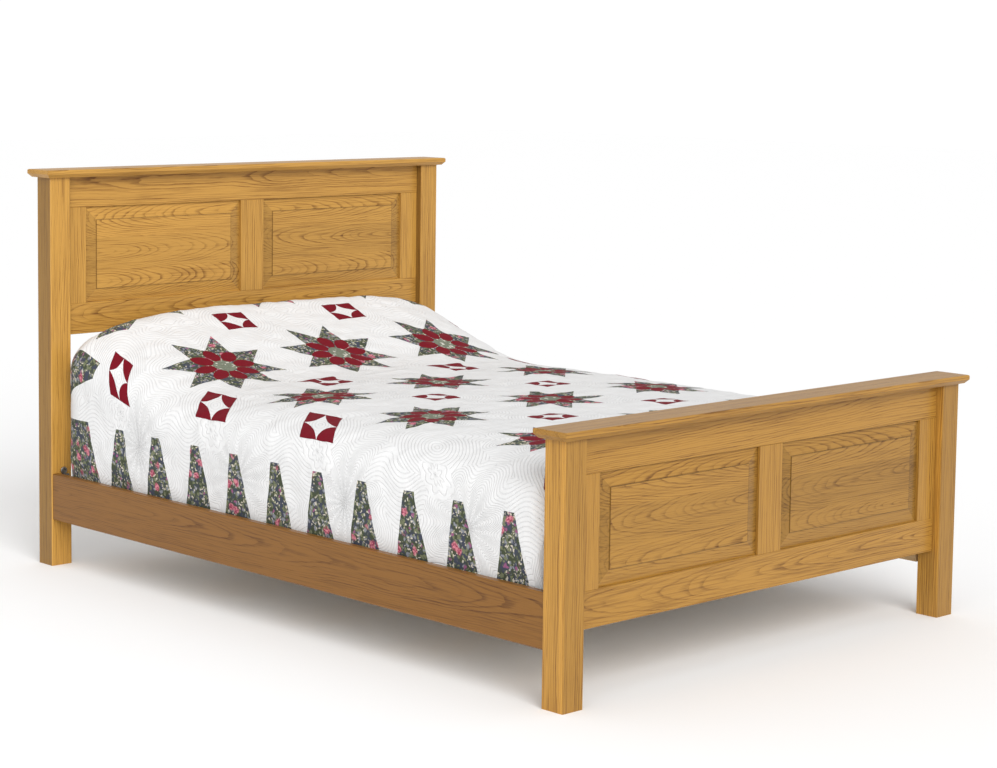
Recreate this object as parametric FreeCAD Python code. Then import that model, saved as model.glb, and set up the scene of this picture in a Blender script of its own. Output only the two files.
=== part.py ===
"""Queen-size oak panel bed, dressed. Millimetres, +X to the right seen from the foot, +Y to the head, +Z up.

The origin lies on the floor under the middle of the bed. Both end boards are frames of rails and stiles that
hold two raised panels each, tenoned between square posts and covered by a moulded cap. The side rails carry
steel brackets that drop over round buttons on the posts, and a cleat inside each rail carries the slats.
"""

import FreeCAD
import Part
import math
import os

Vector = FreeCAD.Vector

# ---- driving dimensions ----
WIDTH = 1613.0  # over the posts
LENGTH = 2263.0  # over the posts
POST = 73.0  # square post
HEAD_POST_TOP = 1203.0
FOOT_POST_TOP = 671.0
ARRIS = 2.5  # rounding of the posts' long edges

# end boards: rails, stiles and raised panels, all centred in the posts' depth
FRAME_THICK = 23.0
BOARD_RAIL_HIGH = 96.0
HEAD_PANELS_FROM = 809.0  # top edge of the headboard's bottom rail
FOOT_PANELS_FROM = 286.0
SIDE_STILE_WIDE = 74.0
MIDDLE_STILE_WIDE = 94.0
GROOVE_WIDE = 6.0
GROOVE_DEEP = 10.0
TENON_LONG = 30.0
TENON_THICK = 10.0
TENON_SHOULDER = 12.0  # left above and below each tenon
FRAME_ARRIS = 1.2
PANEL_TONGUE = 5.6
PANEL_IN_GROOVE = 9.0
PANEL_BEVEL = 41.0  # from the opening's edge to the raised field
PANEL_STEP = 1.8  # small square shoulder round the field
FIELD_BEHIND_FRAME = 1.5
PANEL_BACK_BEHIND = 18.0  # from the frame's front to the panel's flat back
PANEL_PLAY = 0.4

# moulded caps
CAP_THICK = 24.0
CAP_OVER_FACE = 20.0
CAP_OVER_END = 22.0
CAP_UNDERCUT_IN = 10.0
CAP_UNDERCUT_HIGH = 11.0
CAP_ROUND = 4.5
DOWEL_R = 4.75
DOWEL_IN_CAP = 15.0
DOWEL_BELOW = 28.0
DOWEL_SPACING = 440.0  # along the top rail

# side rails and what carries the bedding
RAIL_THICK = 25.0
RAIL_HIGH = 144.0
RAIL_FROM_FLOOR = 145.0
RAIL_INSET = 3.0  # from the posts' outer faces
RAIL_ARRIS = 3.0
CLEAT_WIDE = 25.0
CLEAT_HIGH = 30.0
CLEAT_SHORT = 18.0  # the cleat stops this far from each post
CLEAT_SCREWS = 8
SLAT_COUNT = 5
SLAT_WIDE = 89.0
SLAT_THICK = 19.0
SLAT_ARRIS = 2.0
SLAT_PITCH = 450.0
SLAT_END_GAP = 2.0
LEG = 38.0
GLIDE_R = 14.0
GLIDE_HIGH = 4.0

# rail brackets and the buttons that they hang on
BRACKET_THICK = 3.0
BRACKET_REACH = 70.0  # along the rail
BRACKET_LOW = 180.0
BRACKET_HIGH = 285.0
FLANGE_LOW = 160.0
FLANGE_WIDE = 34.0
BUTTON_FROM_EDGE = 40.0  # from the posts' outer faces
BUTTON_HEIGHTS = (201.0, 249.0, 297.0)  # the two lower ones are in use
BUTTON_R = 11.0
BUTTON_HEAD = 5.0
NECK_R = 6.0
NECK_LONG = 3.5
KEYHOLE_DROP = 24.0
KEYHOLE_PLAY = 0.5

# fasteners
BUTTON_SCREW_R = 2.5
BUTTON_SCREW_HEAD_R = 5.0
BUTTON_SCREW_IN_POST = 34.0
BUTTON_SCREW_SUNK = 1.5  # below the button's face
BUTTON_RIM = 1.2  # chamfer round the head
BUTTON_SIDES = 12
SMALL_SIDES = 6
DOWEL_SIDES = 8
SOCKET_R = 2.2  # over the corners of the six-sided socket
SOCKET_DEEP = 2.4
SMALL_SCREW = (2.1, 4.2)  # shank and head radius
LARGE_SCREW = (2.4, 4.8)
BRACKET_SCREW_LONG = 19.0
BRACKET_SCREW_FROM_END = (24.0, 54.0)
BRACKET_SCREW_HEIGHTS = (202.0, 263.0)
CLEAT_SCREW_LONG = 42.0
CLEAT_SCREW_FROM_END = 100.0
SLAT_SCREW_LONG = 40.0
SLAT_SCREW_OFF_MIDDLE = 15.0
LEG_SCREW_LONG = 60.0

# bedding: foundation, mattress, two pillows, and the quilt over them
MATTRESS_HALF = 762.0
MATTRESS_END = 1016.0
BOX_SPRING_THICK = 198.0
BOX_SPRING_CORNER = 50.0
BOX_SPRING_EDGE = 10.0
MATTRESS_TOP = 590.0
MATTRESS_EDGE = 450.0  # where the rounded top edge runs into the side
MATTRESS_END_FALL = 100.0  # how far the top drops over each end
QUILT_THICK = 12.0
QUILT_HALF = 776.0
QUILT_FOOT = -1034.0
QUILT_HEAD = 1036.0
QUILT_TOP = 604.0
QUILT_EDGE = 452.0
QUILT_HEM = 215.0
QUILT_HEAD_HEM = 640.0
QUILT_FOOT_FALL = 118.0  # how far the top drops at the foot
QUILT_FOOT_REACH = 110.0  # over what length
PILLOW_NEAR = 10.0  # from the bed's middle line
PILLOW_FAR = 716.0
PILLOW_FRONT = 566.0
PILLOW_BACK = 1018.0
PILLOW_CREST = 984.0
PILLOW_UNDER_QUILT = 4.0
PILLOW_NOSE = 8.0  # from the front edge to where the top starts
PILLOW_OVER_MATTRESS = 1.5
PILLOW_END_DRAW = 46.0  # how far the front pulls in at the pillow's ends
RAMP_FROM = 558.0  # where the pillows start to lift the quilt
RAMP_SLOPE = 0.42
RAMP_EASE = 70.0
RAMP_SIDE_LOSS = 0.257  # share of the lift that is lost at the bed's sides
HEAD_FALL = 34.0  # from the crest down to the quilt's head edge

# ---- places worked out from them ----
HALF_W = WIDTH / 2
HALF_L = LENGTH / 2
HEAD_Y = HALF_L - POST / 2  # middle of the headboard's thickness
FOOT_Y = -HEAD_Y
POST_INNER = HALF_W - POST
RAIL_INNER = HALF_W - RAIL_INSET - RAIL_THICK
RAIL_END = HALF_L - POST
CLEAT_TOP = RAIL_FROM_FLOOR + CLEAT_HIGH
SLAT_TOP = CLEAT_TOP + SLAT_THICK
BOX_SPRING_TOP = SLAT_TOP + BOX_SPRING_THICK
BUTTON_X = HALF_W - BUTTON_FROM_EDGE

parts = {}


def block(x0, x1, y0, y1, z0, z1):
    """A box between two corners."""
    return Part.makeBox(x1 - x0, y1 - y0, z1 - z0, Vector(x0, y0, z0))


def frustum(half_x, half_y, high, inward):
    """A slab that stands on the origin's plane and whose four sides lean inward by the same amount."""
    top_x, top_y = half_x - inward, half_y - inward
    wedge = Part.makeWedge(-half_x, 0, -half_y, -top_y, -top_x, half_x, high, half_y, top_y, top_x)
    # a wedge rises along Y
    wedge.rotate(Vector(), Vector(1, 0, 0), 90)
    return wedge


def faceted(low_radius, high_radius, length, start, along, sides):
    """A bar or cone with flat sides, as wide over its corners as its radii say, from a point along a way."""
    placing = FreeCAD.Placement(start, FreeCAD.Rotation(Vector(0, 0, 1), along))
    turns = [2 * math.pi * (k + 0.5) / sides for k in range(sides)]
    rings = []
    for radius, height in ((low_radius, 0.0), (high_radius, length)):
        ring = [Vector(radius * math.cos(turn), radius * math.sin(turn), height) for turn in turns]
        rings.append([placing.multVec(corner) for corner in ring])
    low, high = rings
    faces = [Part.Face(Part.makePolygon(ring + ring[:1])) for ring in rings]
    for k in range(sides):
        faces.append(Part.Face(Part.makePolygon([low[k - 1], low[k], high[k], high[k - 1], low[k - 1]])))
    return Part.makeSolid(Part.makeShell(faces))


def long_edges(solid, axis):
    """Every straight edge that runs along one axis (0, 1 or 2) for the solid's whole length."""
    size = (solid.BoundBox.XLength, solid.BoundBox.YLength, solid.BoundBox.ZLength)[axis]
    edges = []
    for edge in solid.Edges:
        a, b = edge.Vertexes[0].Point, edge.Vertexes[-1].Point
        run = b - a
        if abs(abs(run[axis]) - size) < 0.01 and run.Length - abs(run[axis]) < 0.01:
            edges.append(edge)
    return edges


def eased(solid, radius, axis):
    """Rounds the edges along one axis."""
    return solid.makeFillet(radius, long_edges(solid, axis))


def chamfered(solid, width, axis):
    """Takes a flat off the edges along one axis."""
    return solid.makeChamfer(width, long_edges(solid, axis))


# ---- fasteners ----
def wood_screw(start, along, length, shank_r, head_r):
    """A countersunk screw: a cone head flush at its start, then a plain shank."""
    deep = head_r - shank_r
    head = faceted(head_r, shank_r, deep, start, along, SMALL_SIDES)
    shank = faceted(shank_r, shank_r, length - deep, start + along * deep, along, SMALL_SIDES)
    return head.fuse(shank).removeSplitter()


def button(x, y, z, toward):
    """A steel stud: a neck on the post's face and a round head that stands off it."""
    along = Vector(0, toward, 0)
    on_neck = Vector(x, y + toward * NECK_LONG, z)
    on_head = on_neck + along * (BUTTON_HEAD - BUTTON_RIM)
    neck = faceted(NECK_R, NECK_R, NECK_LONG, Vector(x, y, z), along, BUTTON_SIDES)
    head = faceted(BUTTON_R, BUTTON_R, BUTTON_HEAD - BUTTON_RIM, on_neck, along, BUTTON_SIDES)
    rim = faceted(BUTTON_R, BUTTON_R - BUTTON_RIM, BUTTON_RIM, on_head, along, BUTTON_SIDES)
    return neck.fuse([head, rim]).removeSplitter()


def button_screw(x, y, z, toward):
    """The screw through a button into the post, with a six-sided socket in its head."""
    stand = NECK_LONG + BUTTON_HEAD - BUTTON_SCREW_SUNK
    start = Vector(x, y + toward * stand, z)
    length = stand + BUTTON_SCREW_IN_POST
    screw = wood_screw(start, Vector(0, -toward, 0), length, BUTTON_SCREW_R, BUTTON_SCREW_HEAD_R)
    return screw.cut(faceted(SOCKET_R, SOCKET_R, SOCKET_DEEP, start, Vector(0, -toward, 0), SMALL_SIDES))


# ---- end boards ----
def tenon(side, y, z0):
    """The tenon by which a rail that starts at height z0 enters the post on one side."""
    x0, x1 = sorted((side * POST_INNER, side * (POST_INNER + TENON_LONG)))
    y0, y1 = y - TENON_THICK / 2, y + TENON_THICK / 2
    return block(x0, x1, y0, y1, z0 + TENON_SHOULDER, z0 + BOARD_RAIL_HIGH - TENON_SHOULDER)


def board_rail(y, z0, groove_on_top):
    """A rail of an end board: a tenon at each end, a groove for stiles and panels along its inner edge."""
    z1 = z0 + BOARD_RAIL_HIGH
    front, back = y - FRAME_THICK / 2, y + FRAME_THICK / 2
    body = chamfered(block(-POST_INNER, POST_INNER, front, back, z0, z1), FRAME_ARRIS, 0)
    for side in (-1, 1):
        body = body.fuse(tenon(side, y, z0))
    g0, g1 = (z1 - GROOVE_DEEP, z1) if groove_on_top else (z0, z0 + GROOVE_DEEP)
    groove = block(-POST_INNER, POST_INNER, y - GROOVE_WIDE / 2, y + GROOVE_WIDE / 2, g0, g1)
    return body.cut(groove).removeSplitter()


def stile(y, x0, x1, z0, z1, grooved_sides):
    """An upright between the rails: stub tenons in their grooves, and a groove for each panel beside it."""
    front, back = y - FRAME_THICK / 2, y + FRAME_THICK / 2
    g0, g1 = y - GROOVE_WIDE / 2, y + GROOVE_WIDE / 2
    body = block(x0, x1, front, back, z0, z1)
    body = body.fuse(block(x0, x1, g0, g1, z0 - GROOVE_DEEP, z1 + GROOVE_DEEP))
    low, high = z0 - GROOVE_DEEP, z1 + GROOVE_DEEP
    if "left" in grooved_sides:
        body = body.cut(block(x0, x0 + GROOVE_DEEP, g0, g1, low, high))
    if "right" in grooved_sides:
        body = body.cut(block(x1 - GROOVE_DEEP, x1, g0, g1, low, high))
    return body.removeSplitter()


def raised_panel(y, x0, x1, z0, z1):
    """A panel that floats in its grooves: tongue, sloping bevel, small step, raised field and flat back."""
    front = y - FRAME_THICK / 2
    tongue_front, tongue_back = y - PANEL_TONGUE / 2, y + PANEL_TONGUE / 2
    reach, play, bevel = PANEL_IN_GROOVE, PANEL_PLAY, PANEL_BEVEL
    field_front = front + FIELD_BEHIND_FRAME
    tongue = block(x0 - reach, x1 + reach, tongue_front, tongue_back, z0 - reach, z1 + reach)
    slope_deep = tongue_front - field_front - PANEL_STEP
    slope = frustum((x1 - x0) / 2 - play, (z1 - z0) / 2 - play, slope_deep, bevel - play)
    # the slope rises towards the front
    slope.rotate(Vector(), Vector(1, 0, 0), 90)
    slope.translate(Vector((x0 + x1) / 2, tongue_front, (z0 + z1) / 2))
    field = block(x0 + bevel, x1 - bevel, field_front, tongue_front, z0 + bevel, z1 - bevel)
    back = block(x0 + play, x1 - play, tongue_back, front + PANEL_BACK_BEHIND, z0 + play, z1 - play)
    return tongue.fuse([slope, field, back]).removeSplitter()


def cap(y, z):
    """The moulded board over the posts: undercut edge, flat band and rounded top edge, the same all round."""
    half_x, half_y = HALF_W + CAP_OVER_END, POST / 2 + CAP_OVER_FACE
    band = block(-half_x, half_x, y - half_y, y + half_y, z + CAP_UNDERCUT_HIGH, z + CAP_THICK)
    top = [e for e in band.Edges if e.BoundBox.ZMin > z + CAP_THICK - 0.01]
    band = band.makeFillet(CAP_ROUND, top)
    undercut = frustum(half_x, half_y, CAP_UNDERCUT_HIGH, CAP_UNDERCUT_IN)
    # the undercut widens upwards, so it is turned over
    undercut.rotate(Vector(), Vector(1, 0, 0), 180)
    undercut.translate(Vector(0, y, z + CAP_UNDERCUT_HIGH))
    return band.fuse(undercut).removeSplitter()


def dowel_places(y):
    """Where dowels stand under a cap: one over each post and three along the top rail."""
    post_x = HALF_W - POST / 2
    return [(x, y) for x in (-post_x, -DOWEL_SPACING, 0.0, DOWEL_SPACING, post_x)]


def end_board(name, y, post_top, panels_from, bracket_side):
    """One end of the bed. bracket_side is +1 where the side rails meet the posts' +Y faces, else -1."""
    top_rail_from = post_top - BOARD_RAIL_HIGH
    bottom_rail_from = panels_from - BOARD_RAIL_HIGH
    dowel_long, dowel_from = DOWEL_IN_CAP + DOWEL_BELOW, post_top - DOWEL_BELOW
    dowels = [faceted(DOWEL_R, DOWEL_R, dowel_long, Vector(x, dy, dowel_from), Vector(0, 0, 1), DOWEL_SIDES)
              for x, dy in dowel_places(y)]
    face_y = y + bracket_side * POST / 2
    for side, word in ((-1, "left"), (1, "right")):
        x0, x1 = sorted((side * HALF_W, side * POST_INNER))
        post = chamfered(block(x0, x1, y - POST / 2, y + POST / 2, 0, post_top), ARRIS, 2)
        places = [(side * BUTTON_X, face_y, z) for z in BUTTON_HEIGHTS]
        screws = [button_screw(*place, bracket_side) for place in places]
        buttons = [button(*place, bracket_side).cut(screw) for place, screw in zip(places, screws)]
        post = post.cut([tenon(side, y, z) for z in (top_rail_from, bottom_rail_from)] + screws + dowels)
        parts[f"{name}_post_{word}"] = post
        parts[f"{name}_buttons_{word}"] = Part.makeCompound(buttons)
        parts[f"{name}_button_screws_{word}"] = Part.makeCompound(screws)
    top_rail = board_rail(y, top_rail_from, groove_on_top=False)
    parts[f"{name}_top_rail"] = top_rail.cut(dowels)
    parts[f"{name}_bottom_rail"] = board_rail(y, bottom_rail_from, groove_on_top=True)
    middle = MIDDLE_STILE_WIDE / 2
    opening_end = POST_INNER - SIDE_STILE_WIDE
    span = (panels_from, top_rail_from)
    parts[f"{name}_stile_left"] = stile(y, -POST_INNER, -opening_end, *span, ("right",))
    parts[f"{name}_stile_middle"] = stile(y, -middle, middle, *span, ("left", "right"))
    parts[f"{name}_stile_right"] = stile(y, opening_end, POST_INNER, *span, ("left",))
    parts[f"{name}_panel_left"] = raised_panel(y, -opening_end, -middle, *span)
    parts[f"{name}_panel_right"] = raised_panel(y, middle, opening_end, *span)
    parts[f"{name}_cap"] = cap(y, post_top).cut(dowels)
    parts[f"{name}_cap_dowels"] = Part.makeCompound(dowels)


# ---- side rails, cleats, brackets ----
def bracket(side, end):
    """An angle plate: one leg let into the rail's inner face, one against the post with two keyholes."""
    leg_x = sorted((side * RAIL_INNER, side * (RAIL_INNER + BRACKET_THICK)))
    leg_y = sorted((end * RAIL_END, end * (RAIL_END - BRACKET_REACH)))
    leg = block(*leg_x, *leg_y, BRACKET_LOW, BRACKET_HIGH)
    flange_x = sorted((side * (RAIL_INNER + BRACKET_THICK), side * (RAIL_INNER - FLANGE_WIDE)))
    flange_y = sorted((end * RAIL_END, end * (RAIL_END - BRACKET_THICK)))
    flange = block(*flange_x, *flange_y, FLANGE_LOW, BRACKET_HIGH)
    plate = leg.fuse(flange).removeSplitter()
    through = Vector(0, -end, 0)
    seat, eye = NECK_R + KEYHOLE_PLAY / 2, BUTTON_R + KEYHOLE_PLAY
    x, face_y, depth = side * BUTTON_X, end * RAIL_END, BRACKET_THICK
    for z in BUTTON_HEIGHTS[:2]:
        top = faceted(seat, seat, depth, Vector(x, face_y, z), through, BUTTON_SIDES)
        bottom = faceted(eye, eye, depth, Vector(x, face_y, z - KEYHOLE_DROP), through, BUTTON_SIDES)
        neck = block(x - seat, x + seat, *flange_y, z - KEYHOLE_DROP, z)
        plate = plate.cut([top, bottom, neck])
    return plate.removeSplitter()


def bracket_screw_places(side, end):
    """Four screws hold each bracket to its rail."""
    x = side * RAIL_INNER
    ys = [end * (RAIL_END - inward) for inward in BRACKET_SCREW_FROM_END]
    return [Vector(x, y, z) for y in ys for z in BRACKET_SCREW_HEIGHTS]


def side_rail(side):
    """A plain board between the posts, let in at both ends for the brackets."""
    x0, x1 = sorted((side * RAIL_INNER, side * (RAIL_INNER + RAIL_THICK)))
    board = block(x0, x1, -RAIL_END, RAIL_END, RAIL_FROM_FLOOR, RAIL_FROM_FLOOR + RAIL_HIGH)
    rail = chamfered(board, RAIL_ARRIS, 1)
    leg_x = sorted((side * RAIL_INNER, side * (RAIL_INNER + BRACKET_THICK)))
    for end in (-1, 1):
        leg_y = sorted((end * RAIL_END, end * (RAIL_END - BRACKET_REACH)))
        flange_y = sorted((end * RAIL_END, end * (RAIL_END - BRACKET_THICK)))
        rail = rail.cut([block(*leg_x, *leg_y, BRACKET_LOW, BRACKET_HIGH),
                         block(*leg_x, *flange_y, FLANGE_LOW, BRACKET_LOW)])
    return rail


def cleat(side):
    """The ledger along the rail's lower inner edge that the slats lie on."""
    x0, x1 = sorted((side * RAIL_INNER, side * (RAIL_INNER - CLEAT_WIDE)))
    reach = RAIL_END - CLEAT_SHORT
    return chamfered(block(x0, x1, -reach, reach, RAIL_FROM_FLOOR, CLEAT_TOP), FRAME_ARRIS, 1)


def slat_middles():
    """Where the slats lie along the bed."""
    return [(k - (SLAT_COUNT - 1) / 2) * SLAT_PITCH for k in range(SLAT_COUNT)]


def cleat_screw_set(side):
    """The screws that hold a cleat to its rail, evenly spaced."""
    x, z = side * (RAIL_INNER - CLEAT_WIDE), RAIL_FROM_FLOOR + CLEAT_HIGH / 2
    first = CLEAT_SCREW_FROM_END - RAIL_END
    step = -2 * first / (CLEAT_SCREWS - 1)
    places = [Vector(x, first + k * step, z) for k in range(CLEAT_SCREWS)]
    return [wood_screw(place, Vector(side, 0, 0), CLEAT_SCREW_LONG, *LARGE_SCREW) for place in places]


def slat_screw_set(side):
    """One screw down through each slat's end into the cleat."""
    x = side * (RAIL_INNER - CLEAT_WIDE / 2)
    places = [Vector(x, y + SLAT_SCREW_OFF_MIDDLE, SLAT_TOP) for y in slat_middles()]
    return [wood_screw(place, Vector(0, 0, -1), SLAT_SCREW_LONG, *SMALL_SCREW) for place in places]


def rail_with_fittings(side, word):
    """One side rail with its cleat, its two brackets and the screws in them. Returns the screws by kind."""
    bracket_screws = []
    for end, where in ((-1, "foot"), (1, "head")):
        places = bracket_screw_places(side, end)
        own = [wood_screw(place, Vector(side, 0, 0), BRACKET_SCREW_LONG, *SMALL_SCREW) for place in places]
        parts[f"rail_bracket_{where}_{word}"] = bracket(side, end).cut(own)
        bracket_screws += own
    cleat_screws = cleat_screw_set(side)
    slat_screws = slat_screw_set(side)
    parts[f"side_rail_{word}"] = side_rail(side).cut(bracket_screws + cleat_screws)
    parts[f"cleat_{word}"] = cleat(side).cut(cleat_screws + slat_screws)
    return bracket_screws, cleat_screws, slat_screws


def rails_and_slats():
    """Both side rails, then the slats across them and the legs under the middle three."""
    left, right = rail_with_fittings(-1, "left"), rail_with_fittings(1, "right")
    bracket_screws, cleat_screws, slat_screws = [a + b for a, b in zip(left, right)]
    half = RAIL_INNER - SLAT_END_GAP
    leg_screws, glides = [], []
    for number, y in enumerate(slat_middles(), 1):
        board = block(-half, half, y - SLAT_WIDE / 2, y + SLAT_WIDE / 2, CLEAT_TOP, SLAT_TOP)
        slat = chamfered(board, SLAT_ARRIS, 0)
        if 1 < number < SLAT_COUNT:
            screw = wood_screw(Vector(0, y, SLAT_TOP), Vector(0, 0, -1), LEG_SCREW_LONG, *LARGE_SCREW)
            leg = block(-LEG / 2, LEG / 2, y - LEG / 2, y + LEG / 2, GLIDE_HIGH, CLEAT_TOP)
            parts[f"middle_leg_{number - 1}"] = chamfered(leg, ARRIS, 2).cut(screw)
            leg_screws.append(screw)
            under_leg = Vector(0, y, 0)
            glides.append(faceted(GLIDE_R, GLIDE_R, GLIDE_HIGH, under_leg, Vector(0, 0, 1), BUTTON_SIDES))
        parts[f"slat_{number}"] = slat.cut(slat_screws + leg_screws)
    parts["middle_leg_glides"] = Part.makeCompound(glides)
    parts["bracket_screws"] = Part.makeCompound(bracket_screws)
    parts["cleat_screws"] = Part.makeCompound(cleat_screws)
    parts["slat_screws"] = Part.makeCompound(slat_screws + leg_screws)


# ---- bedding ----
def crown(x, half, edge, top):
    """Height of a rounded bed top at x: flat in the middle, turning down into the sides at height edge."""
    share = min(abs(x) / half, 1.0)
    return edge + (top - edge) * (1.0 - share**4) ** 0.25


def rise(y):
    """How far the pillows lift the quilt's middle: an eased start, a straight ramp, a fall past the crest."""
    past = max(0.0, (y - PILLOW_CREST) / (QUILT_HEAD - PILLOW_CREST))
    run = min(y, PILLOW_CREST) - RAMP_FROM
    return RAMP_SLOPE * (run + math.hypot(run, RAMP_EASE)) / 2 - HEAD_FALL * past**2


def foot_fall(depth):
    """How far the top falls near the foot end, where it turns down inside the footboard."""
    share = max(0.0, 1.0 - depth / QUILT_FOOT_REACH)
    return QUILT_FOOT_FALL * (1.0 - (1.0 - share**4) ** 0.25)


def quilt_height(x, y, inset):
    """Height of the quilt's outer face, or of its lining where inset is the quilt's thickness."""
    half = QUILT_HALF - inset
    fall = foot_fall(y - QUILT_FOOT - inset)
    top = QUILT_TOP - inset - fall
    edge = QUILT_EDGE - inset / 2 - fall
    return crown(x, half, edge, top) + rise(y) * (1.0 - RAMP_SIDE_LOSS * (x / half) ** 4)


def mattress_height(x, fall):
    """Height of the mattress at x, where its top has dropped by fall."""
    return crown(x, MATTRESS_HALF, MATTRESS_EDGE - fall / 2, MATTRESS_TOP - fall)


def section(y, half, low, height):
    """A closed cross-section of the bedding: flat below, upright sides, rounded shoulders, crowned top."""
    shoulder, temple, brow = 0.93 * half, 0.84 * half, 0.74 * half
    edge = height(half)
    across, up = half - shoulder, height(shoulder) - edge
    # the shoulder's arc leaves the side without a corner
    radius = (across**2 + up**2) / (2 * across)
    turn = math.asin(min(1.0, up / radius)) / 2
    bend = Vector(half - radius + radius * math.cos(turn), y, edge + radius * math.sin(turn))
    tops = [Vector(x, y, height(x)) for x in (shoulder, temple, brow, brow / 2, 0.0)]
    half_line = [Vector(half, y, edge), bend] + tops
    line = half_line + [Vector(-p.x, p.y, p.z) for p in reversed(half_line[:-1])]
    arcs = [Part.Arc(*line[k:k + 3]).toShape() for k in range(0, len(line) - 2, 2)]
    low_left, low_right = Vector(-half, y, low), Vector(half, y, low)
    under = Part.LineSegment(low_left, low_right).toShape()
    right = Part.LineSegment(low_right, line[0]).toShape()
    left = Part.LineSegment(line[-1], low_left).toShape()
    return Part.Wire([under, right, *arcs, left])


def quilt_skin(inset):
    """The solid inside the quilt's outer face, or inside its lining where inset is the quilt's thickness."""
    foot, head = QUILT_FOOT + inset, QUILT_HEAD - inset
    foot_ys = [foot, foot + 5.0, foot + 20.0, foot + 48.0, foot + 105.0]
    ramp_ys = [470.0, 540.0, 600.0, 660.0, 740.0, 860.0, PILLOW_CREST - 25.0]
    crest_ys = [PILLOW_CREST, (PILLOW_CREST + head) / 2, head]
    # the lining's underside lies a little lower than the outer face's, so the cover is open below
    low = QUILT_HEM - (1.0 if inset else 0.0)
    wires = [section(y, QUILT_HALF - inset, low, lambda x: quilt_height(x, y, inset))
             for y in foot_ys + ramp_ys + crest_ys]
    return Part.makeLoft(wires, True, True)


def quilt():
    """A quilted cover over mattress and pillows, hanging inside the rails, open below and low at the head."""
    cover = quilt_skin(0.0).cut(quilt_skin(QUILT_THICK))
    open_head = block(-QUILT_HALF + QUILT_THICK, QUILT_HALF - QUILT_THICK, QUILT_HEAD - 2 * QUILT_THICK,
                      QUILT_HEAD + QUILT_THICK, QUILT_HEM - QUILT_THICK, QUILT_HEAD_HEM)
    return cover.cut(open_head)


def mattress():
    """A mattress with a crowned top that rounds down at both ends."""
    rounding = [(0.0, 1.0), (12.0, 0.62), (40.0, 0.26), (95.0, 0.04)]
    foot = [(inward - MATTRESS_END, share * MATTRESS_END_FALL) for inward, share in rounding]
    stations = foot + [(-y, fall) for y, fall in reversed(foot)]
    wires = [section(y, MATTRESS_HALF, BOX_SPRING_TOP, lambda x: mattress_height(x, fall))
             for y, fall in stations]
    return Part.makeLoft(wires, True, True)


def box_spring():
    """The foundation under the mattress: a covered frame with rounded corners."""
    box = block(-MATTRESS_HALF, MATTRESS_HALF, -MATTRESS_END, MATTRESS_END, SLAT_TOP, BOX_SPRING_TOP)
    box = eased(box, BOX_SPRING_CORNER, 2)
    return box.makeChamfer(BOX_SPRING_EDGE, [e for e in box.Edges if e.BoundBox.ZLength < 1])


def pillow_section(x, plump):
    """A pillow's outline at x: thin along its front, full under the crest. plump is 1 where it is fullest."""
    low = mattress_height(x, 0.0) + PILLOW_OVER_MATTRESS
    front = PILLOW_FRONT + PILLOW_END_DRAW * (1.0 - plump)
    back = PILLOW_BACK - PILLOW_END_DRAW / 2 * (1.0 - plump)

    def top(y):
        return low + plump * (quilt_height(x, y, QUILT_THICK) - PILLOW_UNDER_QUILT - low)

    full = top(PILLOW_CREST) - low
    nose, crest = front + PILLOW_NOSE, back - 0.2 * full
    middle = (nose + crest) / 2
    line = [Vector(x, y, z) for y, z in (
        (back - 0.1 * full, low), (back, low + 0.35 * full), (back - 0.04 * full, low + 0.75 * full),
        (crest, low + full), (middle, top(middle) - PILLOW_UNDER_QUILT), (nose, top(front)), (front, low))]
    return Part.makePolygon(line + line[:1])


def pillow(side):
    """A plump pillow that leans back, full in the middle and drawn in at its two ends."""
    rising = [(0.0, 0.22), (0.08, 0.62), (0.28, 0.96)]
    fullness = rising + [(1.0 - share, plump) for share, plump in reversed(rising)]
    wires = [pillow_section(side * (PILLOW_NEAR + (PILLOW_FAR - PILLOW_NEAR) * share), plump)
             for share, plump in fullness]
    return Part.makeLoft(wires, True, True)


# ---- the whole bed ----
end_board("headboard", HEAD_Y, HEAD_POST_TOP, HEAD_PANELS_FROM, -1)
end_board("footboard", FOOT_Y, FOOT_POST_TOP, FOOT_PANELS_FROM, 1)
rails_and_slats()
parts["box_spring"] = box_spring()
parts["mattress"] = mattress()
parts["pillow_left"] = pillow(-1)
parts["pillow_right"] = pillow(1)
parts["quilt"] = quilt()

os.makedirs("parts", exist_ok=True)
for node, shape in parts.items():
    shape.exportStep(f"parts/{node}.step")
print(len(parts), "nodes")
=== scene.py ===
import math

import bmesh
import bpy
import numpy as np
from mathutils import Matrix, Vector, noise


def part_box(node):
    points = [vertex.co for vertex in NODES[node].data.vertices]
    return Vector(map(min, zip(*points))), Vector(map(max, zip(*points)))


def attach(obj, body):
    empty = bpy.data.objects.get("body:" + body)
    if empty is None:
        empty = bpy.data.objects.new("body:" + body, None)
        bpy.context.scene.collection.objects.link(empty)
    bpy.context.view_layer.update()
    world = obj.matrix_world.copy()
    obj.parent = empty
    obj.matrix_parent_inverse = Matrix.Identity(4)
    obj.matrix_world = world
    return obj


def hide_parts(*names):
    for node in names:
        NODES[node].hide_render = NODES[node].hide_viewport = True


bl_info = {
    "name": "Panel bed",
    "version": (1, 0, 0),
    "blender": (4, 5, 0),
    "location": "3D View > Sidebar > Panel bed",
    "description": "Finishes a panel bed: oak, steel fittings, mattress, pillows and a pieced quilt",
    "category": "Add Mesh",
}

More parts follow.
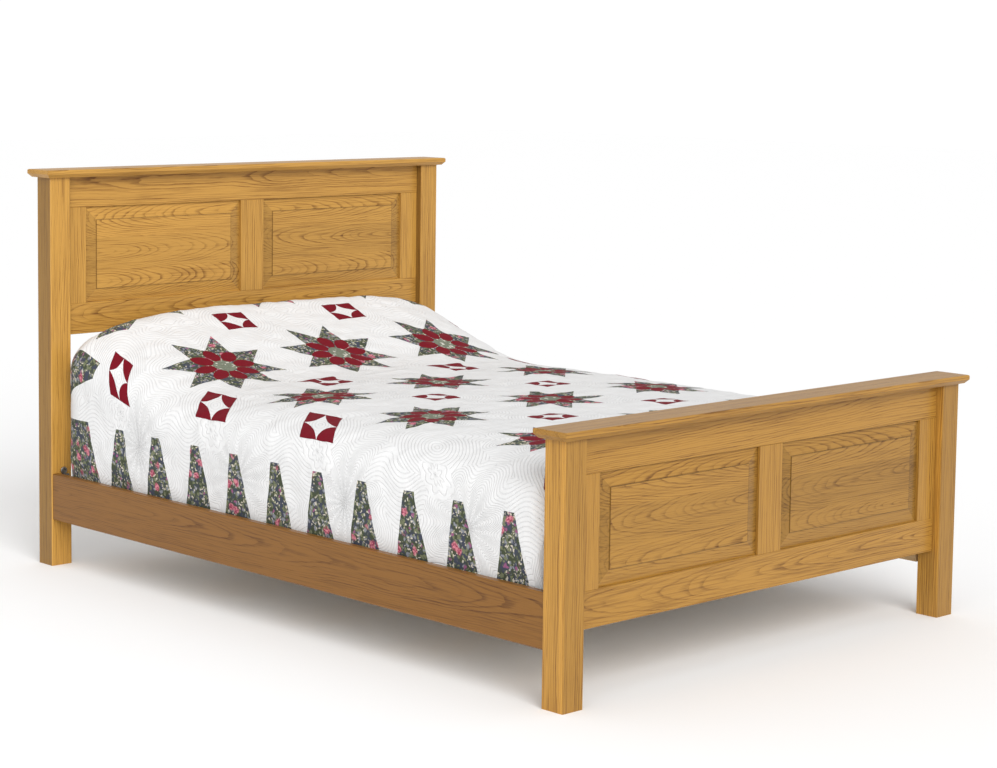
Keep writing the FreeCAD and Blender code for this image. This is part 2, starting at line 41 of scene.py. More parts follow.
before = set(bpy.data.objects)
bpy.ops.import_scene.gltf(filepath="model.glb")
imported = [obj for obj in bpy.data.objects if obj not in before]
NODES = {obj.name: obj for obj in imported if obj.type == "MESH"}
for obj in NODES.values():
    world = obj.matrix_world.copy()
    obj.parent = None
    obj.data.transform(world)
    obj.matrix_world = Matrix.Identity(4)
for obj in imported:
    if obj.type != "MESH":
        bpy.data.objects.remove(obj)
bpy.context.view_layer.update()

# ---- sizes in metres, the same as the part's own ----
PANEL_BEVEL = 0.050  # from a panel's edge in its groove to its raised field
STUD_R = 0.011
STUD_HEAD = 0.005
STUD_NECK_R = 0.006
STUD_NECK = 0.0035
MATTRESS_HALF = 0.762
MATTRESS_END = 1.016
BOX_LOW = 0.194
BOX_HIGH = 0.392
QUILT_HALF = 0.776
QUILT_FOOT = -1.034
QUILT_HEAD = 1.036
QUILT_TOP = 0.604
QUILT_EDGE = 0.452
QUILT_HEM = 0.215
QUILT_HEAD_HEM = 0.640
QUILT_THICK = 0.011
QUILT_CORNER = 0.055  # radius of its corners, seen from above
FOOT_FALL = 0.118  # how far the top rounds down at the foot, and over what length
FOOT_REACH = 0.110
PILLOW_CREST = 0.984
RAMP_FROM = 0.558  # where the pillows start to lift it, and how steeply
RAMP_SLOPE = 0.42
RAMP_EASE = 0.070
RAMP_SIDE_LOSS = 0.257
HEAD_FALL = 0.034


# ---- what a user would change ----
class OakFinish(bpy.types.PropertyGroup):
    """The bed's oak and its varnish."""

    light: bpy.props.FloatVectorProperty(
        name="Light wood", description="Colour of the wood between the growth rings", subtype="COLOR",
        size=4, min=0.0, max=1.0, default=(0.54, 0.292, 0.060, 1.0))
    dark: bpy.props.FloatVectorProperty(
        name="Dark rings", description="Colour of the porous early wood", subtype="COLOR",
        size=4, min=0.0, max=1.0, default=(0.135, 0.044, 0.005, 1.0))
    ring: bpy.props.FloatProperty(
        name="Ring spacing", description="Width of one growth ring", unit="LENGTH", default=0.0048)
    roughness: bpy.props.FloatProperty(
        name="Varnish roughness", description="0 is polished and 1 is dull", subtype="FACTOR",
        min=0.0, max=1.0, default=0.36)


class QuiltDesign(bpy.types.PropertyGroup):
    """The quilt's cloths and the spacing of its blocks."""

    ground: bpy.props.FloatVectorProperty(
        name="Ground", description="Colour of the plain quilted cotton", subtype="COLOR",
        size=4, min=0.0, max=1.0, default=(0.76, 0.76, 0.76, 1.0))
    burgundy: bpy.props.FloatVectorProperty(
        name="Burgundy", description="Colour of the plain dark pieces", subtype="COLOR",
        size=4, min=0.0, max=1.0, default=(0.200, 0.004, 0.014, 1.0))
    star_across: bpy.props.FloatProperty(
        name="Star spacing across", description="Between the middles of two stars across the bed",
        unit="LENGTH", default=0.457)
    star_along: bpy.props.FloatProperty(
        name="Star spacing along", description="Between the middles of two stars along the bed",
        unit="LENGTH", default=0.469)
    puff: bpy.props.FloatProperty(
        name="Puff", description="How far the quilting stands up between its stitches",
        unit="LENGTH", default=0.0026)
    cell: bpy.props.FloatProperty(
        name="Cloth cell", description="Size of the cloth's mesh before it is smoothed",
        unit="LENGTH", default=0.034)


class Bedding(bpy.types.PropertyGroup):
    """Mattress, box spring and pillows."""

    voxel: bpy.props.FloatProperty(
        name="Padding cell", description="Mesh size of the padded pieces", unit="LENGTH", default=0.022)
    piping: bpy.props.FloatProperty(
        name="Piping", description="Radius of the piping round the mattress", unit="LENGTH", default=0.0045)
    plumpness: bpy.props.FloatProperty(
        name="Plumpness", description="Pressure that swells the pillows", default=3.0, min=0.0)


class Studio(bpy.types.PropertyGroup):
    """Floor, lights and camera."""

    floor: bpy.props.FloatVectorProperty(
        name="Floor", description="Colour of the floor", subtype="COLOR",
        size=4, min=0.0, max=1.0, default=(0.95, 0.95, 0.95, 1.0))
    ambient: bpy.props.FloatProperty(
        name="Ambient light", description="Strength of the even white light all round", default=0.70)
    key: bpy.props.FloatProperty(
        name="Key light", description="Strength of the soft light from above the foot", default=2.15)
    fill: bpy.props.FloatProperty(
        name="Fill light", description="Power of the lamp beside the bed", unit="POWER", default=30.0)


def set_up(target, **values):
    """Sets several of target's properties."""
    for name, value in values.items():
        setattr(target, name, value)


# ---- materials: short ways to write node trees ----
class Field:
    """A number, colour or vector that varies over a surface."""

    def __init__(self, surface, socket):
        self.surface = surface
        self.socket = socket

    def math(self, operation, *others):
        return self.surface.math(operation, self, *others)

    def __add__(self, other):
        return self.math("ADD", other)

    def __sub__(self, other):
        return self.math("SUBTRACT", other)

    def __rsub__(self, other):
        return self.surface.math("SUBTRACT", other, self)

    def __mul__(self, other):
        return self.math("MULTIPLY", other)

    def __truediv__(self, other):
        return self.math("DIVIDE", other)

    def __lt__(self, other):
        return self.math("LESS_THAN", other)

    def __gt__(self, other):
        return self.math("GREATER_THAN", other)

    def __and__(self, other):
        return self.math("MULTIPLY", other)

    def __or__(self, other):
        return self.math("MAXIMUM", other)

    def size(self):
        return self.math("ABSOLUTE")

    def root(self):
        return self.math("SQRT")

    def whole(self):
        return self.math("FLOOR")

    def part(self):
        return self.math("FRACT")

    def low(self, other):
        return self.math("MINIMUM", other)

    def centred(self, pitch):
        """Distance from the middle of its step, where each step is pitch long."""
        return self - self.math("SNAP", pitch) - pitch / 2

    def reach(self, other):
        """Length of the line whose two sides are this and other."""
        return (self * self + other * other).root()

    def ease(self, start, end, low=0.0, high=1.0):
        inputs = {"Value": self, "From Min": start, "From Max": end, "To Min": low, "To Max": high}
        return self.surface.node("MapRange", inputs, interpolation_type="SMOOTHSTEP")


class Surface:
    """A node tree and short ways to add nodes to it."""

    def __init__(self, tree):
        self.tree = tree

    def node(self, kind, inputs=None, output=0, **settings):
        made = self.tree.nodes.new("ShaderNode" + kind)
        set_up(made, **settings)
        self.feed(made, inputs or {})
        return Field(self, made.outputs[output])

    def feed(self, made, inputs):
        """Links or sets a node's inputs."""
        for key, value in inputs.items():
            if isinstance(value, Field):
                self.tree.links.new(value.socket, made.inputs[key])
            else:
                made.inputs[key].default_value = value

    def math(self, operation, *values):
        return self.node("Math", dict(enumerate(values)), operation=operation)

    def vector(self, x=0.0, y=0.0, z=0.0):
        return self.node("CombineXYZ", {0: x, 1: y, 2: z})

    def split(self, vector):
        made = self.tree.nodes.new("ShaderNodeSeparateXYZ")
        self.tree.links.new(vector.socket, made.inputs[0])
        return [Field(self, plug) for plug in made.outputs]

    def mix(self, share, first, second):
        return self.node("Mix", {0: share, 6: first, 7: second}, output=2, data_type="RGBA")

    def noise(self, vector, scale, detail=2.0, roughness=0.5, colour=False):
        inputs = {"Vector": vector, "Scale": scale, "Detail": detail, "Roughness": roughness}
        return self.node("TexNoise", inputs, output="Color" if colour else "Fac")

    def spots(self, vector, scale, colour=False):
        inputs = {"Vector": vector, "Scale": scale}
        return self.node("TexVoronoi", inputs, output="Color" if colour else "Distance")

    def random(self, number):
        return self.node("TexWhiteNoise", {"W": number}, output="Color", noise_dimensions="1D")

    def place(self):
        return self.node("TexCoord", output="Object")

    def bump(self, height, depth, strength):
        return self.node("Bump", {"Height": height, "Distance": depth, "Strength": strength})


def new_material(name):
    """An empty material with its surface ready for nodes."""
    material = bpy.data.materials.new(name)
    material.use_nodes = True
    material.node_tree.nodes.clear()
    return material, Surface(material.node_tree)


def finish_material(surface, inputs):
    """Adds the shader and the output. Constant settings stay on the shader's own sockets."""
    shader = surface.node("BsdfPrincipled", inputs, output="BSDF")
    surface.feed(surface.tree.nodes.new("ShaderNodeOutputMaterial"), {"Surface": shader})


def toned(colour, tone):
    """A colour with its red, green and blue multiplied by tone, which is one number or three."""
    tone = tone if isinstance(tone, tuple) else (tone,) * 3
    return tuple(c * share for c, share in zip(colour, tone)) + (1.0,)


def paint(node_name, material):
    """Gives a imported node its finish."""
    piece = NODES[node_name]
    for place in piece.material_slots:
        place.material = material
    if not piece.material_slots:
        piece.data.materials.append(material)


# ---- oak ----
GRAIN_SOCKETS = (
    ("INPUT", "Float", ("Across", "Depth", "Along", "Board", "Heart Across", "Heart Depth", "Slope", "Ring",
                        "Pores")),
    ("INPUT", "Color", ("Light", "Dark")),
    ("OUTPUT", "Color", ("Colour",)),
    ("OUTPUT", "Float", ("Roughness", "Height")),
)
HEART_WANDER = (0.040, 0.034)  # how far the log's heart strays across and below the board, in metres
RIPPLE = 0.010  # small waves of the rings, in metres
EARLY_FADE = (0.02, 0.42)  # share of a ring over which its porous early wood fades
RING_EDGE = (0.93, 1.0)
# how much each part darkens the wood
EARLY_TONE, FIBRE_TONE, PORE_TONE, CLOUD_TONE, BOARD_TONE, TONE_SHIFT = 0.50, 0.36, 0.44, 0.36, 0.16, -0.04
BEVEL_DARKER = 0.20  # end grain on a panel's side bevels
STEP_PAINTED_SHADE = 0.36  # painted shade: the dark line in the step round a panel's raised field
STEP_SHADE_LINE = (0.0008, 0.0026)


def grain_group():
    """Growth rings, pores and fibres of a sawn board: Across and Depth run over its section, Along its grain."""
    tree = bpy.data.node_groups.new("sawn grain", "ShaderNodeTree")
    for way, kind, names in GRAIN_SOCKETS:
        for name in names:
            tree.interface.new_socket(name=name, in_out=way, socket_type="NodeSocket" + kind)
    surface = Surface(tree)
    entry = tree.nodes.new("NodeGroupInput")
    given = {plug.name: Field(surface, plug) for plug in entry.outputs if plug.name}
    across, depth, along, board = (given[name] for name in ("Across", "Depth", "Along", "Board"))
    chance_a, chance_b, chance_c = surface.split(surface.random(board))
    board_chance = surface.split(surface.random(board + 31.7))[0]
    # the log's heart wanders along the board
    drift = surface.vector(across * 1.7 + chance_a * 50.0, depth * 1.7 + chance_b * 50.0, along * 0.85)
    wander_a, wander_b, _ = surface.split(surface.noise(drift, 1.6, 2.0, 0.55, colour=True))
    slope = given["Slope"] * ((chance_c > 0.5) * 2.0 - 1.0) * chance_a.ease(0.0, 1.0, 0.8, 1.4)
    from_heart = (across - given["Heart Across"] * (chance_a.ease(0.0, 1.0, 0.6, 1.4))
                  + (wander_a - 0.5) * HEART_WANDER[0])
    over_heart = (depth + given["Heart Depth"] * chance_b.ease(0.0, 1.0, 0.75, 1.3) + along * slope
                  + (wander_b - 0.5) * HEART_WANDER[1])
    small = surface.vector(across * 9.0 + chance_b * 20.0, depth * 9.0, along * 2.6)
    ripple = (surface.noise(small, 2.0, 3.0, 0.6) - 0.5) * RIPPLE
    rings = (from_heart.reach(over_heart) + ripple) / given["Ring"]
    phase = rings.part()
    year = surface.split(surface.random(rings.whole() + board * 7.0))[0]
    early = (1.0 - phase.ease(*EARLY_FADE)) | phase.ease(*RING_EDGE)
    early = early * year.ease(0.0, 1.0, 0.25, 1.0)
    fibre = surface.vector(across * 230.0 + chance_c * 90.0, depth * 230.0, along * 5.0)
    fibres = surface.noise(fibre, 1.0, 4.0, 0.62)
    pore_place = surface.vector(across * 520.0, depth * 520.0 + chance_a * 60.0, along * 17.0)
    pores = surface.noise(pore_place, 1.0, 2.0, 0.5).ease(0.54, 0.68) * (early * 0.85 + 0.15) * given["Pores"]
    cloud_place = surface.vector(across * 3.5, depth * 3.5 + chance_a * 30.0, along * 1.4)
    cloud = surface.noise(cloud_place, 2.0, 2.0, 0.5)
    tone = (early * EARLY_TONE + (1.0 - fibres).ease(0.44, 0.64) * FIBRE_TONE + pores * PORE_TONE
            + (cloud - 0.5) * CLOUD_TONE + (board_chance - 0.5) * BOARD_TONE + TONE_SHIFT)
    surface.feed(tree.nodes.new("NodeGroupOutput"), {
        "Colour": surface.mix(tone.math("MAXIMUM", 0.0).low(1.0), given["Light"], given["Dark"]),
        "Roughness": pores * 0.22 + early * 0.06,
        "Height": 1.0 - pores * 0.8 - early * 0.25})
    return tree


# where each axis of the piece lies in its board: across, depth, along
CUTS = {"x": (2, 1, 0), "y": (2, 0, 1), "z": (0, 1, 2), "flat": (1, 2, 0)}


def glued_boards(place, size, glued):
    """Number, middle and shade of the board that a place lies on, in a piece glued up from boards."""
    axis, joints, shades = glued
    # joints are shares of the piece's size
    limits = [(share - 0.5) * size[axis] for share in (0.0, *joints, 1.0)]
    middles = [(start + end) / 2 for start, end in zip(limits, limits[1:])]
    number, middle, shade = 0.0, middles[0], shades[0]
    for k, joint in enumerate(limits[1:-1]):
        past = place[axis] > joint
        number = past + number
        middle = past * (middles[k + 1] - middles[k]) + middle
        shade = past * (shades[k + 1] - shades[k]) + shade
    return number, middle, shade


def wood(node, seed, cut, heart, slope, light, dark, ring, rough, gloss, glued=None, pores=1.0, ends=0.0,
         kind="oak"):
    """Sawn timber for one node. heart is how far the log's heart lies across and below the board. glued splits it
    into boards and says how dark each is, which on the posts also paints light and shade on their sides and backs.
    ends is how wide the darker end grain of a panel's side bevels is, and also places a painted shade line in the
    step round its raised field."""
    material, surface = new_material(kind + " " + node.replace("_", " "))
    low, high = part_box(node)
    size = [high[axis] - low[axis] for axis in range(3)]
    board, shade = seed, 1.0
    place = [axis_place - (low[axis] + high[axis]) / 2
             for axis, axis_place in enumerate(surface.split(surface.place()))]
    if glued:
        # on the posts the boards' shades also paint their sides and backs darker (headboard) or lighter (footboard)
        # than their fronts, as light and shade
        number, middle, shade = glued_boards(place, size, glued)
        board = number * 3.3 + seed
    if ends:
        # the front's bevels at both ends cut across the grain, which drinks more stain
        front = place[1] < -0.001
        to_end = size[0] / 2 - place[0].size()
        to_side = size[2] / 2 - place[2].size()
        shade = (1.0 - (to_end < ends) * (to_end < to_side) * front * BEVEL_DARKER) * shade
        # painted shade: a dark line in the step round the raised field, where shade falls
        in_step_shade = 1.0 - (to_end.low(to_side) - ends).size().ease(*STEP_SHADE_LINE)
        shade = (1.0 - in_step_shade * front * STEP_PAINTED_SHADE) * shade
    if glued:
        place[glued[0]] = place[glued[0]] - middle
    across, depth, along = (place[axis] for axis in CUTS[cut])
    group = surface.tree.nodes.new("ShaderNodeGroup")
    group.node_tree = bpy.data.node_groups.get("sawn grain") or grain_group()
    surface.feed(group, {
        "Across": across, "Depth": depth, "Along": along, "Board": board, "Heart Across": heart[0],
        "Heart Depth": heart[1], "Slope": slope, "Ring": ring, "Pores": pores, "Light": light, "Dark": dark})
    colour, extra, height = (Field(surface, group.outputs[key]) for key in ("Colour", "Roughness", "Height"))
    if isinstance(shade, Field):
        shades = surface.vector(shade, shade, shade)
        colour = surface.node("Mix", {0: 1.0, 6: colour, 7: shades}, output=2, data_type="RGBA",
                              blend_type="MULTIPLY")
    finish_material(surface, {
        "Base Color": colour, "Roughness": extra + rough, "Normal": surface.bump(height, 0.0004, 0.5),
        "Coat Weight": gloss, "Coat Roughness": 0.25, "Specular IOR Level": 0.28})
    return material


# each oak board: seed, cut, how far the log's heart lies across and below it, and the grain's slope
OAK_BOARDS = {
    "post": (1.1, "z", (0.20, 0.20), 0.004),
    "panel": (3.3, "x", (0.012, 0.050), 0.085),
    "stile": (5.6, "z", (0.06, 0.10), 0.020),
    "stile_middle": (7.4, "z", (0.12, 0.16), 0.010),
    "top_rail": (8.2, "x", (0.05, 0.06), 0.030),
    "bottom_rail": (9.7, "x", (0.012, 0.045), 0.060),
    "cap": (6.1, "flat", (0.08, 0.15), 0.010),
    "side_rail": (31.3, "y", (0.03, 0.050), 0.035),
}
BOARD_TONES = ((0.93, 0.91, 0.90), (0.74, 0.70, 0.60))  # headboard and footboard
SIDE_RAIL_TONE = (0.43, 0.34, 0.25)
RIGHT_POST_SHARE = 0.92
FOOT_PANEL_SHARES = (0.93, 0.84)
# posts are glued up behind a face board, and panels from three boards: axis, joints, shades. On the posts the shades
# are partly the boards' own tone and partly painted light and shade: the headboard posts' sides and backs darker than
# their fronts, the footboard posts' lighter
POST_PLIES_AND_PAINTED_FACE_LIGHT = ((1, (0.05, 0.24, 0.75), (1.06, 0.61, 0.58, 0.61)), (1, (0.03, 0.22, 0.75), (0.90, 1.46, 1.22, 1.36)))
PANEL_BOARDS = (2, (0.34, 0.66), (1.0, 0.94, 1.03))
OAK_GLOSS = 0.08


class BED_OT_oak(bpy.types.Operator):
    """Give posts, rails, stiles, raised panels, caps and side rails their oak, each board with its own grain"""

    bl_idname = "panel_bed.oak"
    bl_label = "Oak frame"

    def execute(self, context):
        oak = context.scene.bed_oak

        def lay(node, kind, number, tone, glued=None, ends=0.0):
            seed, cut, heart, slope = OAK_BOARDS[kind]
            paint(node, wood(node, number + seed, cut, heart, slope, toned(oak.light, tone), toned(oak.dark, tone),
                             oak.ring, oak.roughness, OAK_GLOSS, glued, ends=ends))

        for at_foot, board in enumerate(("headboard", "footboard")):
            number, tone = 10.0 * at_foot, BOARD_TONES[at_foot]
            for side, word in enumerate(("left", "right")):
                post_tone = tuple(share * RIGHT_POST_SHARE for share in tone) if side else tone
                panel_tone = tuple(share * FOOT_PANEL_SHARES[side] for share in tone) if at_foot else post_tone
                lay(f"{board}_post_{word}", "post", number + side, post_tone, POST_PLIES_AND_PAINTED_FACE_LIGHT[at_foot])
                lay(f"{board}_panel_{word}", "panel", number + side, panel_tone, PANEL_BOARDS, PANEL_BEVEL)
                lay(f"{board}_stile_{word}", "stile", number + side, tone)
            for kind in ("stile_middle", "top_rail", "bottom_rail", "cap"):
                lay(f"{board}_{kind}", kind, number, tone)
        for side, word in enumerate(("left", "right")):
            lay(f"side_rail_{word}", "side_rail", side, SIDE_RAIL_TONE)
        return {"FINISHED"}


# which way each kind of softwood piece is cut, and its seed
SOFTWOOD_CUTS = {"slat": ("flat", 40.0), "cleat": ("y", 50.0), "middle": ("z", 60.0), "headboard": ("z", 70.0),
                 "footboard": ("z", 71.0)}
# the log's heart, the grain's slope, light and dark, a ring's width, roughness and gloss
SOFTWOOD = ((0.05, 0.09), 0.02, (0.68, 0.47, 0.25, 1.0), (0.42, 0.23, 0.09, 1.0), 0.005, 0.58, 0.0)
SOFTWOOD_PORES = 0.25


class BED_OT_plain_wood(bpy.types.Operator):
    """Give slats, cleats, middle legs and dowels plain unvarnished softwood"""

    bl_idname = "panel_bed.plain_wood"
    bl_label = "Slats and cleats"

    def execute(self, context):
        count = 0
        for node in NODES:
            if NODES[node].hide_render or node.endswith(("screws", "glides")):
                continue
            if not node.startswith(("slat_", "cleat_", "middle_leg_")) and not node.endswith("_dowels"):
                continue
            cut, seed = SOFTWOOD_CUTS[node.split("_")[0]]
            count += 1
            paint(node, wood(node, seed + 1.3 * count, cut, *SOFTWOOD, pores=SOFTWOOD_PORES, kind="softwood"))
        return {"FINISHED"}


# ---- steel ----
BRACKET_STEEL = ((0.30, 0.30, 0.31, 1.0), 0.30)  # colour and roughness
SCREW_STEEL = ((0.46, 0.44, 0.40, 1.0), 0.26)
STUD_STEEL = ((0.38, 0.37, 0.36, 1.0), 0.24)
STEEL_STAIN = 0.62  # how dark its stains are
GLIDE_BROWNS = ((0.10, 0.07, 0.05, 1.0), (0.16, 0.12, 0.09, 1.0))


def steel(name, base, rough):
    """Zinc-plated or blackened steel with rolling marks and faint stains."""
    material, surface = new_material(name)
    place = surface.place()
    x, y, z = surface.split(place)
    marks = surface.noise(surface.vector(x * 40.0, y * 40.0, z * 900.0), 1.0, 2.0)
    stains = surface.noise(place, 60.0, 3.0)
    finish_material(surface, {
        "Base Color": surface.mix(stains.ease(0.35, 0.75), base, toned(base, STEEL_STAIN)), "Metallic": 1.0,
        "Roughness": marks * 0.16 + stains * 0.12 + rough,
        "Normal": surface.bump(marks, 0.00006, 0.4)})
    return material


class BED_OT_steel(bpy.types.Operator):
    """Give the rail brackets and the screws their steel, and the middle legs' glides their plastic"""

    bl_idname = "panel_bed.steel"
    bl_label = "Brackets, screws and glides"

    def execute(self, context):
        bracket_steel = steel("bracket steel", *BRACKET_STEEL)
        screw_steel = steel("screw steel", *SCREW_STEEL)
        for node in NODES:
            if node.startswith("rail_bracket"):
                paint(node, bracket_steel)
            elif node.endswith("_screws") or "_screws_" in node or "_buttons_" in node:
                paint(node, screw_steel)
        material, surface = new_material("glide plastic")
        speckle = surface.noise(surface.place(), 900.0, 2.0)
        finish_material(surface, {
            "Base Color": surface.mix(speckle, *GLIDE_BROWNS), "Roughness": speckle * 0.2 + 0.4,
            "Normal": surface.bump(speckle, 0.0001, 0.5)})
        paint("middle_leg_glides", material)
        return {"FINISHED"}


def deselect():
    """Leaves nothing selected and nothing active."""
    bpy.ops.object.select_all(action="DESELECT")


def pick(obj):
    """Selects one piece alone and makes it active."""
    deselect()
    obj.select_set(True)
    bpy.context.view_layer.objects.active = obj


def settle(obj):
    """Puts a piece's place, turn and size into its mesh."""
    pick(obj)
    bpy.ops.object.transform_apply(location=True, rotation=True, scale=True)


def apply_all(obj):
    """Applies a piece's modifiers in order."""
    pick(obj)
    for modifier in list(obj.modifiers):
        bpy.ops.object.modifier_apply(modifier=modifier.name)


def edit(obj, kind, chosen):
    """Goes into edit mode with the faces or edges selected for which chosen holds. kind is FACE or EDGE."""
    pick(obj)
    bpy.ops.object.mode_set(mode="EDIT")
    bpy.ops.mesh.select_mode(type=kind)
    mesh = bmesh.from_edit_mesh(obj.data)
    for face in mesh.faces:
        face.select_set(kind == "FACE" and bool(chosen(face)))
    if kind == "EDGE":
        for edge in mesh.edges:
            edge.select_set(bool(chosen(edge)))
    bmesh.update_edit_mesh(obj.data)


def object_mode():
    """Leaves edit mode."""
    bpy.ops.object.mode_set(mode="OBJECT")


def extrude(up):
    """Pushes the selected faces out, and up or down."""
    bpy.ops.mesh.extrude_region_move(TRANSFORM_OT_translate={"value": (0, 0, up)})


def bevel(obj, chosen, offset, segments=3):
    """Bevels those edges of a piece for which chosen holds."""
    edit(obj, "EDGE", chosen)
    bpy.ops.mesh.bevel(offset=offset, segments=segments, affect="EDGES")
    object_mode()


def inset_step(inset, up):
    """Insets the selected faces, then moves them up or down on walls of their own."""
    bpy.ops.mesh.inset(thickness=inset)
    extrude(up)


def smooth(obj):
    """Shades a piece smooth all over."""
    pick(obj)
    bpy.ops.object.shade_smooth()


def add_to_scene(name, data):
    """A new piece, lamp or camera in the scene."""
    made = bpy.data.objects.new(name, data)
    bpy.context.scene.collection.objects.link(made)
    return made


def join(pieces, name):
    """Joins pieces into one with that name."""
    deselect()
    for piece in pieces:
        piece.select_set(True)
    bpy.context.view_layer.objects.active = pieces[0]
    bpy.ops.object.join()
    pieces[0].name = name
    return pieces[0]


STUD_SIDES = 40
STUD_BEVEL = 0.0012
SCREW_INSET = 0.0046  # the screw sits in a small ring-shaped step in the stud's head
SCREW_DEEP = 0.0016
SCREW_GAP = 0.0002
SCREW_RISE = 0.0011
SCREW_BEVEL = 0.0004
SOCKET_R = 0.0024
SOCKET_HIGH = 0.006
SOCKET_UP = 0.0002
STUD_HEIGHTS = (0.201, 0.249, 0.297)


def make_stud():
    """A round steel stud on its neck, standing up from z = 0, with a socket screw let into its head."""
    top = STUD_NECK + STUD_HEAD
    bpy.ops.mesh.primitive_cylinder_add(vertices=STUD_SIDES, radius=STUD_R, depth=STUD_HEAD,
                                        location=(0, 0, STUD_NECK + STUD_HEAD / 2))
    stud = bpy.context.active_object
    settle(stud)
    bevel(stud, lambda e: all(abs(v.co.z - top) < 1e-5 for v in e.verts), STUD_BEVEL)
    edit(stud, "FACE", lambda f: f.normal.z < -0.9)
    inset_step(STUD_R - STUD_NECK_R, -STUD_NECK)
    object_mode()
    edit(stud, "FACE", lambda f: f.normal.z > 0.9 and f.calc_area() > 1e-4)
    inset_step(SCREW_INSET, -SCREW_DEEP)
    inset_step(SCREW_GAP, SCREW_RISE)
    bpy.ops.mesh.inset(thickness=SCREW_BEVEL)
    object_mode()
    bpy.ops.mesh.primitive_cylinder_add(vertices=6, radius=SOCKET_R, depth=SOCKET_HIGH,
                                        location=(0, 0, top + SOCKET_UP))
    socket = bpy.context.active_object
    settle(socket)
    set_up(stud.modifiers.new("socket", "BOOLEAN"), operation="DIFFERENCE", object=socket)
    apply_all(stud)
    bpy.data.objects.remove(socket)
    return stud


class BED_OT_studs(bpy.types.Operator):
    """Model the round steel studs on the posts, which carry the rails' brackets"""

    bl_idname = "panel_bed.studs"
    bl_label = "Studs on the posts"

    def execute(self, context):
        pattern = make_stud()
        plate = steel("stud steel", *STUD_STEEL)
        for board in ("headboard", "footboard"):
            for word in ("left", "right"):
                node = f"{board}_buttons_{word}"
                low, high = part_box(node)
                toward = -1 if board == "headboard" else 1
                face = high.y if toward < 0 else low.y
                studs = []
                for z in STUD_HEIGHTS:
                    stud = add_to_scene("stud", pattern.data.copy())
                    stud.rotation_euler = (-toward * math.pi / 2, 0, 0)
                    stud.location = ((low.x + high.x) / 2, face, z)
                    settle(stud)
                    studs.append(stud)
                studs = join(studs, f"studs_{board}_{word}")
                pick(studs)
                bpy.ops.object.shade_smooth_by_angle(angle=math.radians(35))
                studs.data.materials.append(plate)
                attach(studs, "bedstead")
                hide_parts(node, f"{board}_button_screws_{word}")
        bpy.data.objects.remove(pattern)
        return {"FINISHED"}


# ---- bedding shapes ----
def crown(x, half, edge, top):
    """Height of a rounded bed top at x."""
    share = np.minimum(np.abs(x) / half, 1.0)
    return edge + (top - edge) * (1.0 - share**4) ** 0.25


def pillow_lift(y):
    """How far the pillows lift the quilt's middle at y."""
    past = np.maximum(0.0, (y - PILLOW_CREST) / (QUILT_HEAD - PILLOW_CREST))
    run = np.minimum(y, PILLOW_CREST) - RAMP_FROM
    return RAMP_SLOPE * (run + np.hypot(run, RAMP_EASE)) / 2 - HEAD_FALL * past**2


def foot_fall(depth):
    """How far the top falls near the foot end."""
    share = np.clip(1.0 - depth / FOOT_REACH, 0.0, 1.0)
    return FOOT_FALL * (1.0 - (1.0 - share**4) ** 0.25)


def quilt_height(x, y):
    """Height of the quilt's outer face."""
    fall = foot_fall(y - QUILT_FOOT)
    top = crown(x, QUILT_HALF, QUILT_EDGE - fall, QUILT_TOP - fall)
    return top + pillow_lift(y) * (1.0 - RAMP_SIDE_LOSS * (np.abs(x) / QUILT_HALF) ** 4)


def across_table():
    """Distance over the quilt from its middle line against x, in the middle of the bed."""
    even = np.linspace(0.0, 1.0, 4001)
    x = QUILT_HALF * (1.0 - (1.0 - even) ** 4)
    z = quilt_height(x, np.zeros_like(x))
    return np.concatenate([[0.0], np.cumsum(np.hypot(np.diff(x), np.diff(z)))]), x


def along_table():
    """Distance over the quilt along its middle line against y, 0 at the middle of the bed."""
    edge = QUILT_FOOT + FOOT_REACH * np.linspace(0.0, 1.0, 2001) ** 4
    y = np.concatenate([edge, np.linspace(edge[-1], QUILT_HEAD, 6001)[1:]])
    z = quilt_height(np.zeros_like(y), y)
    run = np.concatenate([[0.0], np.cumsum(np.hypot(np.diff(y), np.diff(z)))])
    return run - np.interp(0.0, y, run), y


def round_corners(x, y, radius):
    """Rounds the plan of the quilt's corners."""
    cx, low, high = QUILT_HALF - radius, QUILT_FOOT + radius, QUILT_HEAD - radius
    dx = np.maximum(np.abs(x) - cx, 0.0)
    dy = np.where(y > 0, np.maximum(y - high, 0.0), np.minimum(y - low, 0.0))
    span, reach = np.maximum(dx, np.abs(dy)), np.hypot(dx, dy)
    share = np.where(reach > 1e-9, span / np.maximum(reach, 1e-9), 1.0)
    corner = (dx > 0) & (dy != 0)
    keep = np.where(corner, share, 1.0)
    new_x = np.sign(x) * (np.abs(x) - dx + dx * keep)
    return new_x, y - dy + dy * keep


HEAD_ROWS = 3  # rows of cloth that hang down at the head end
HEAD_HANG_LEAST = 0.015


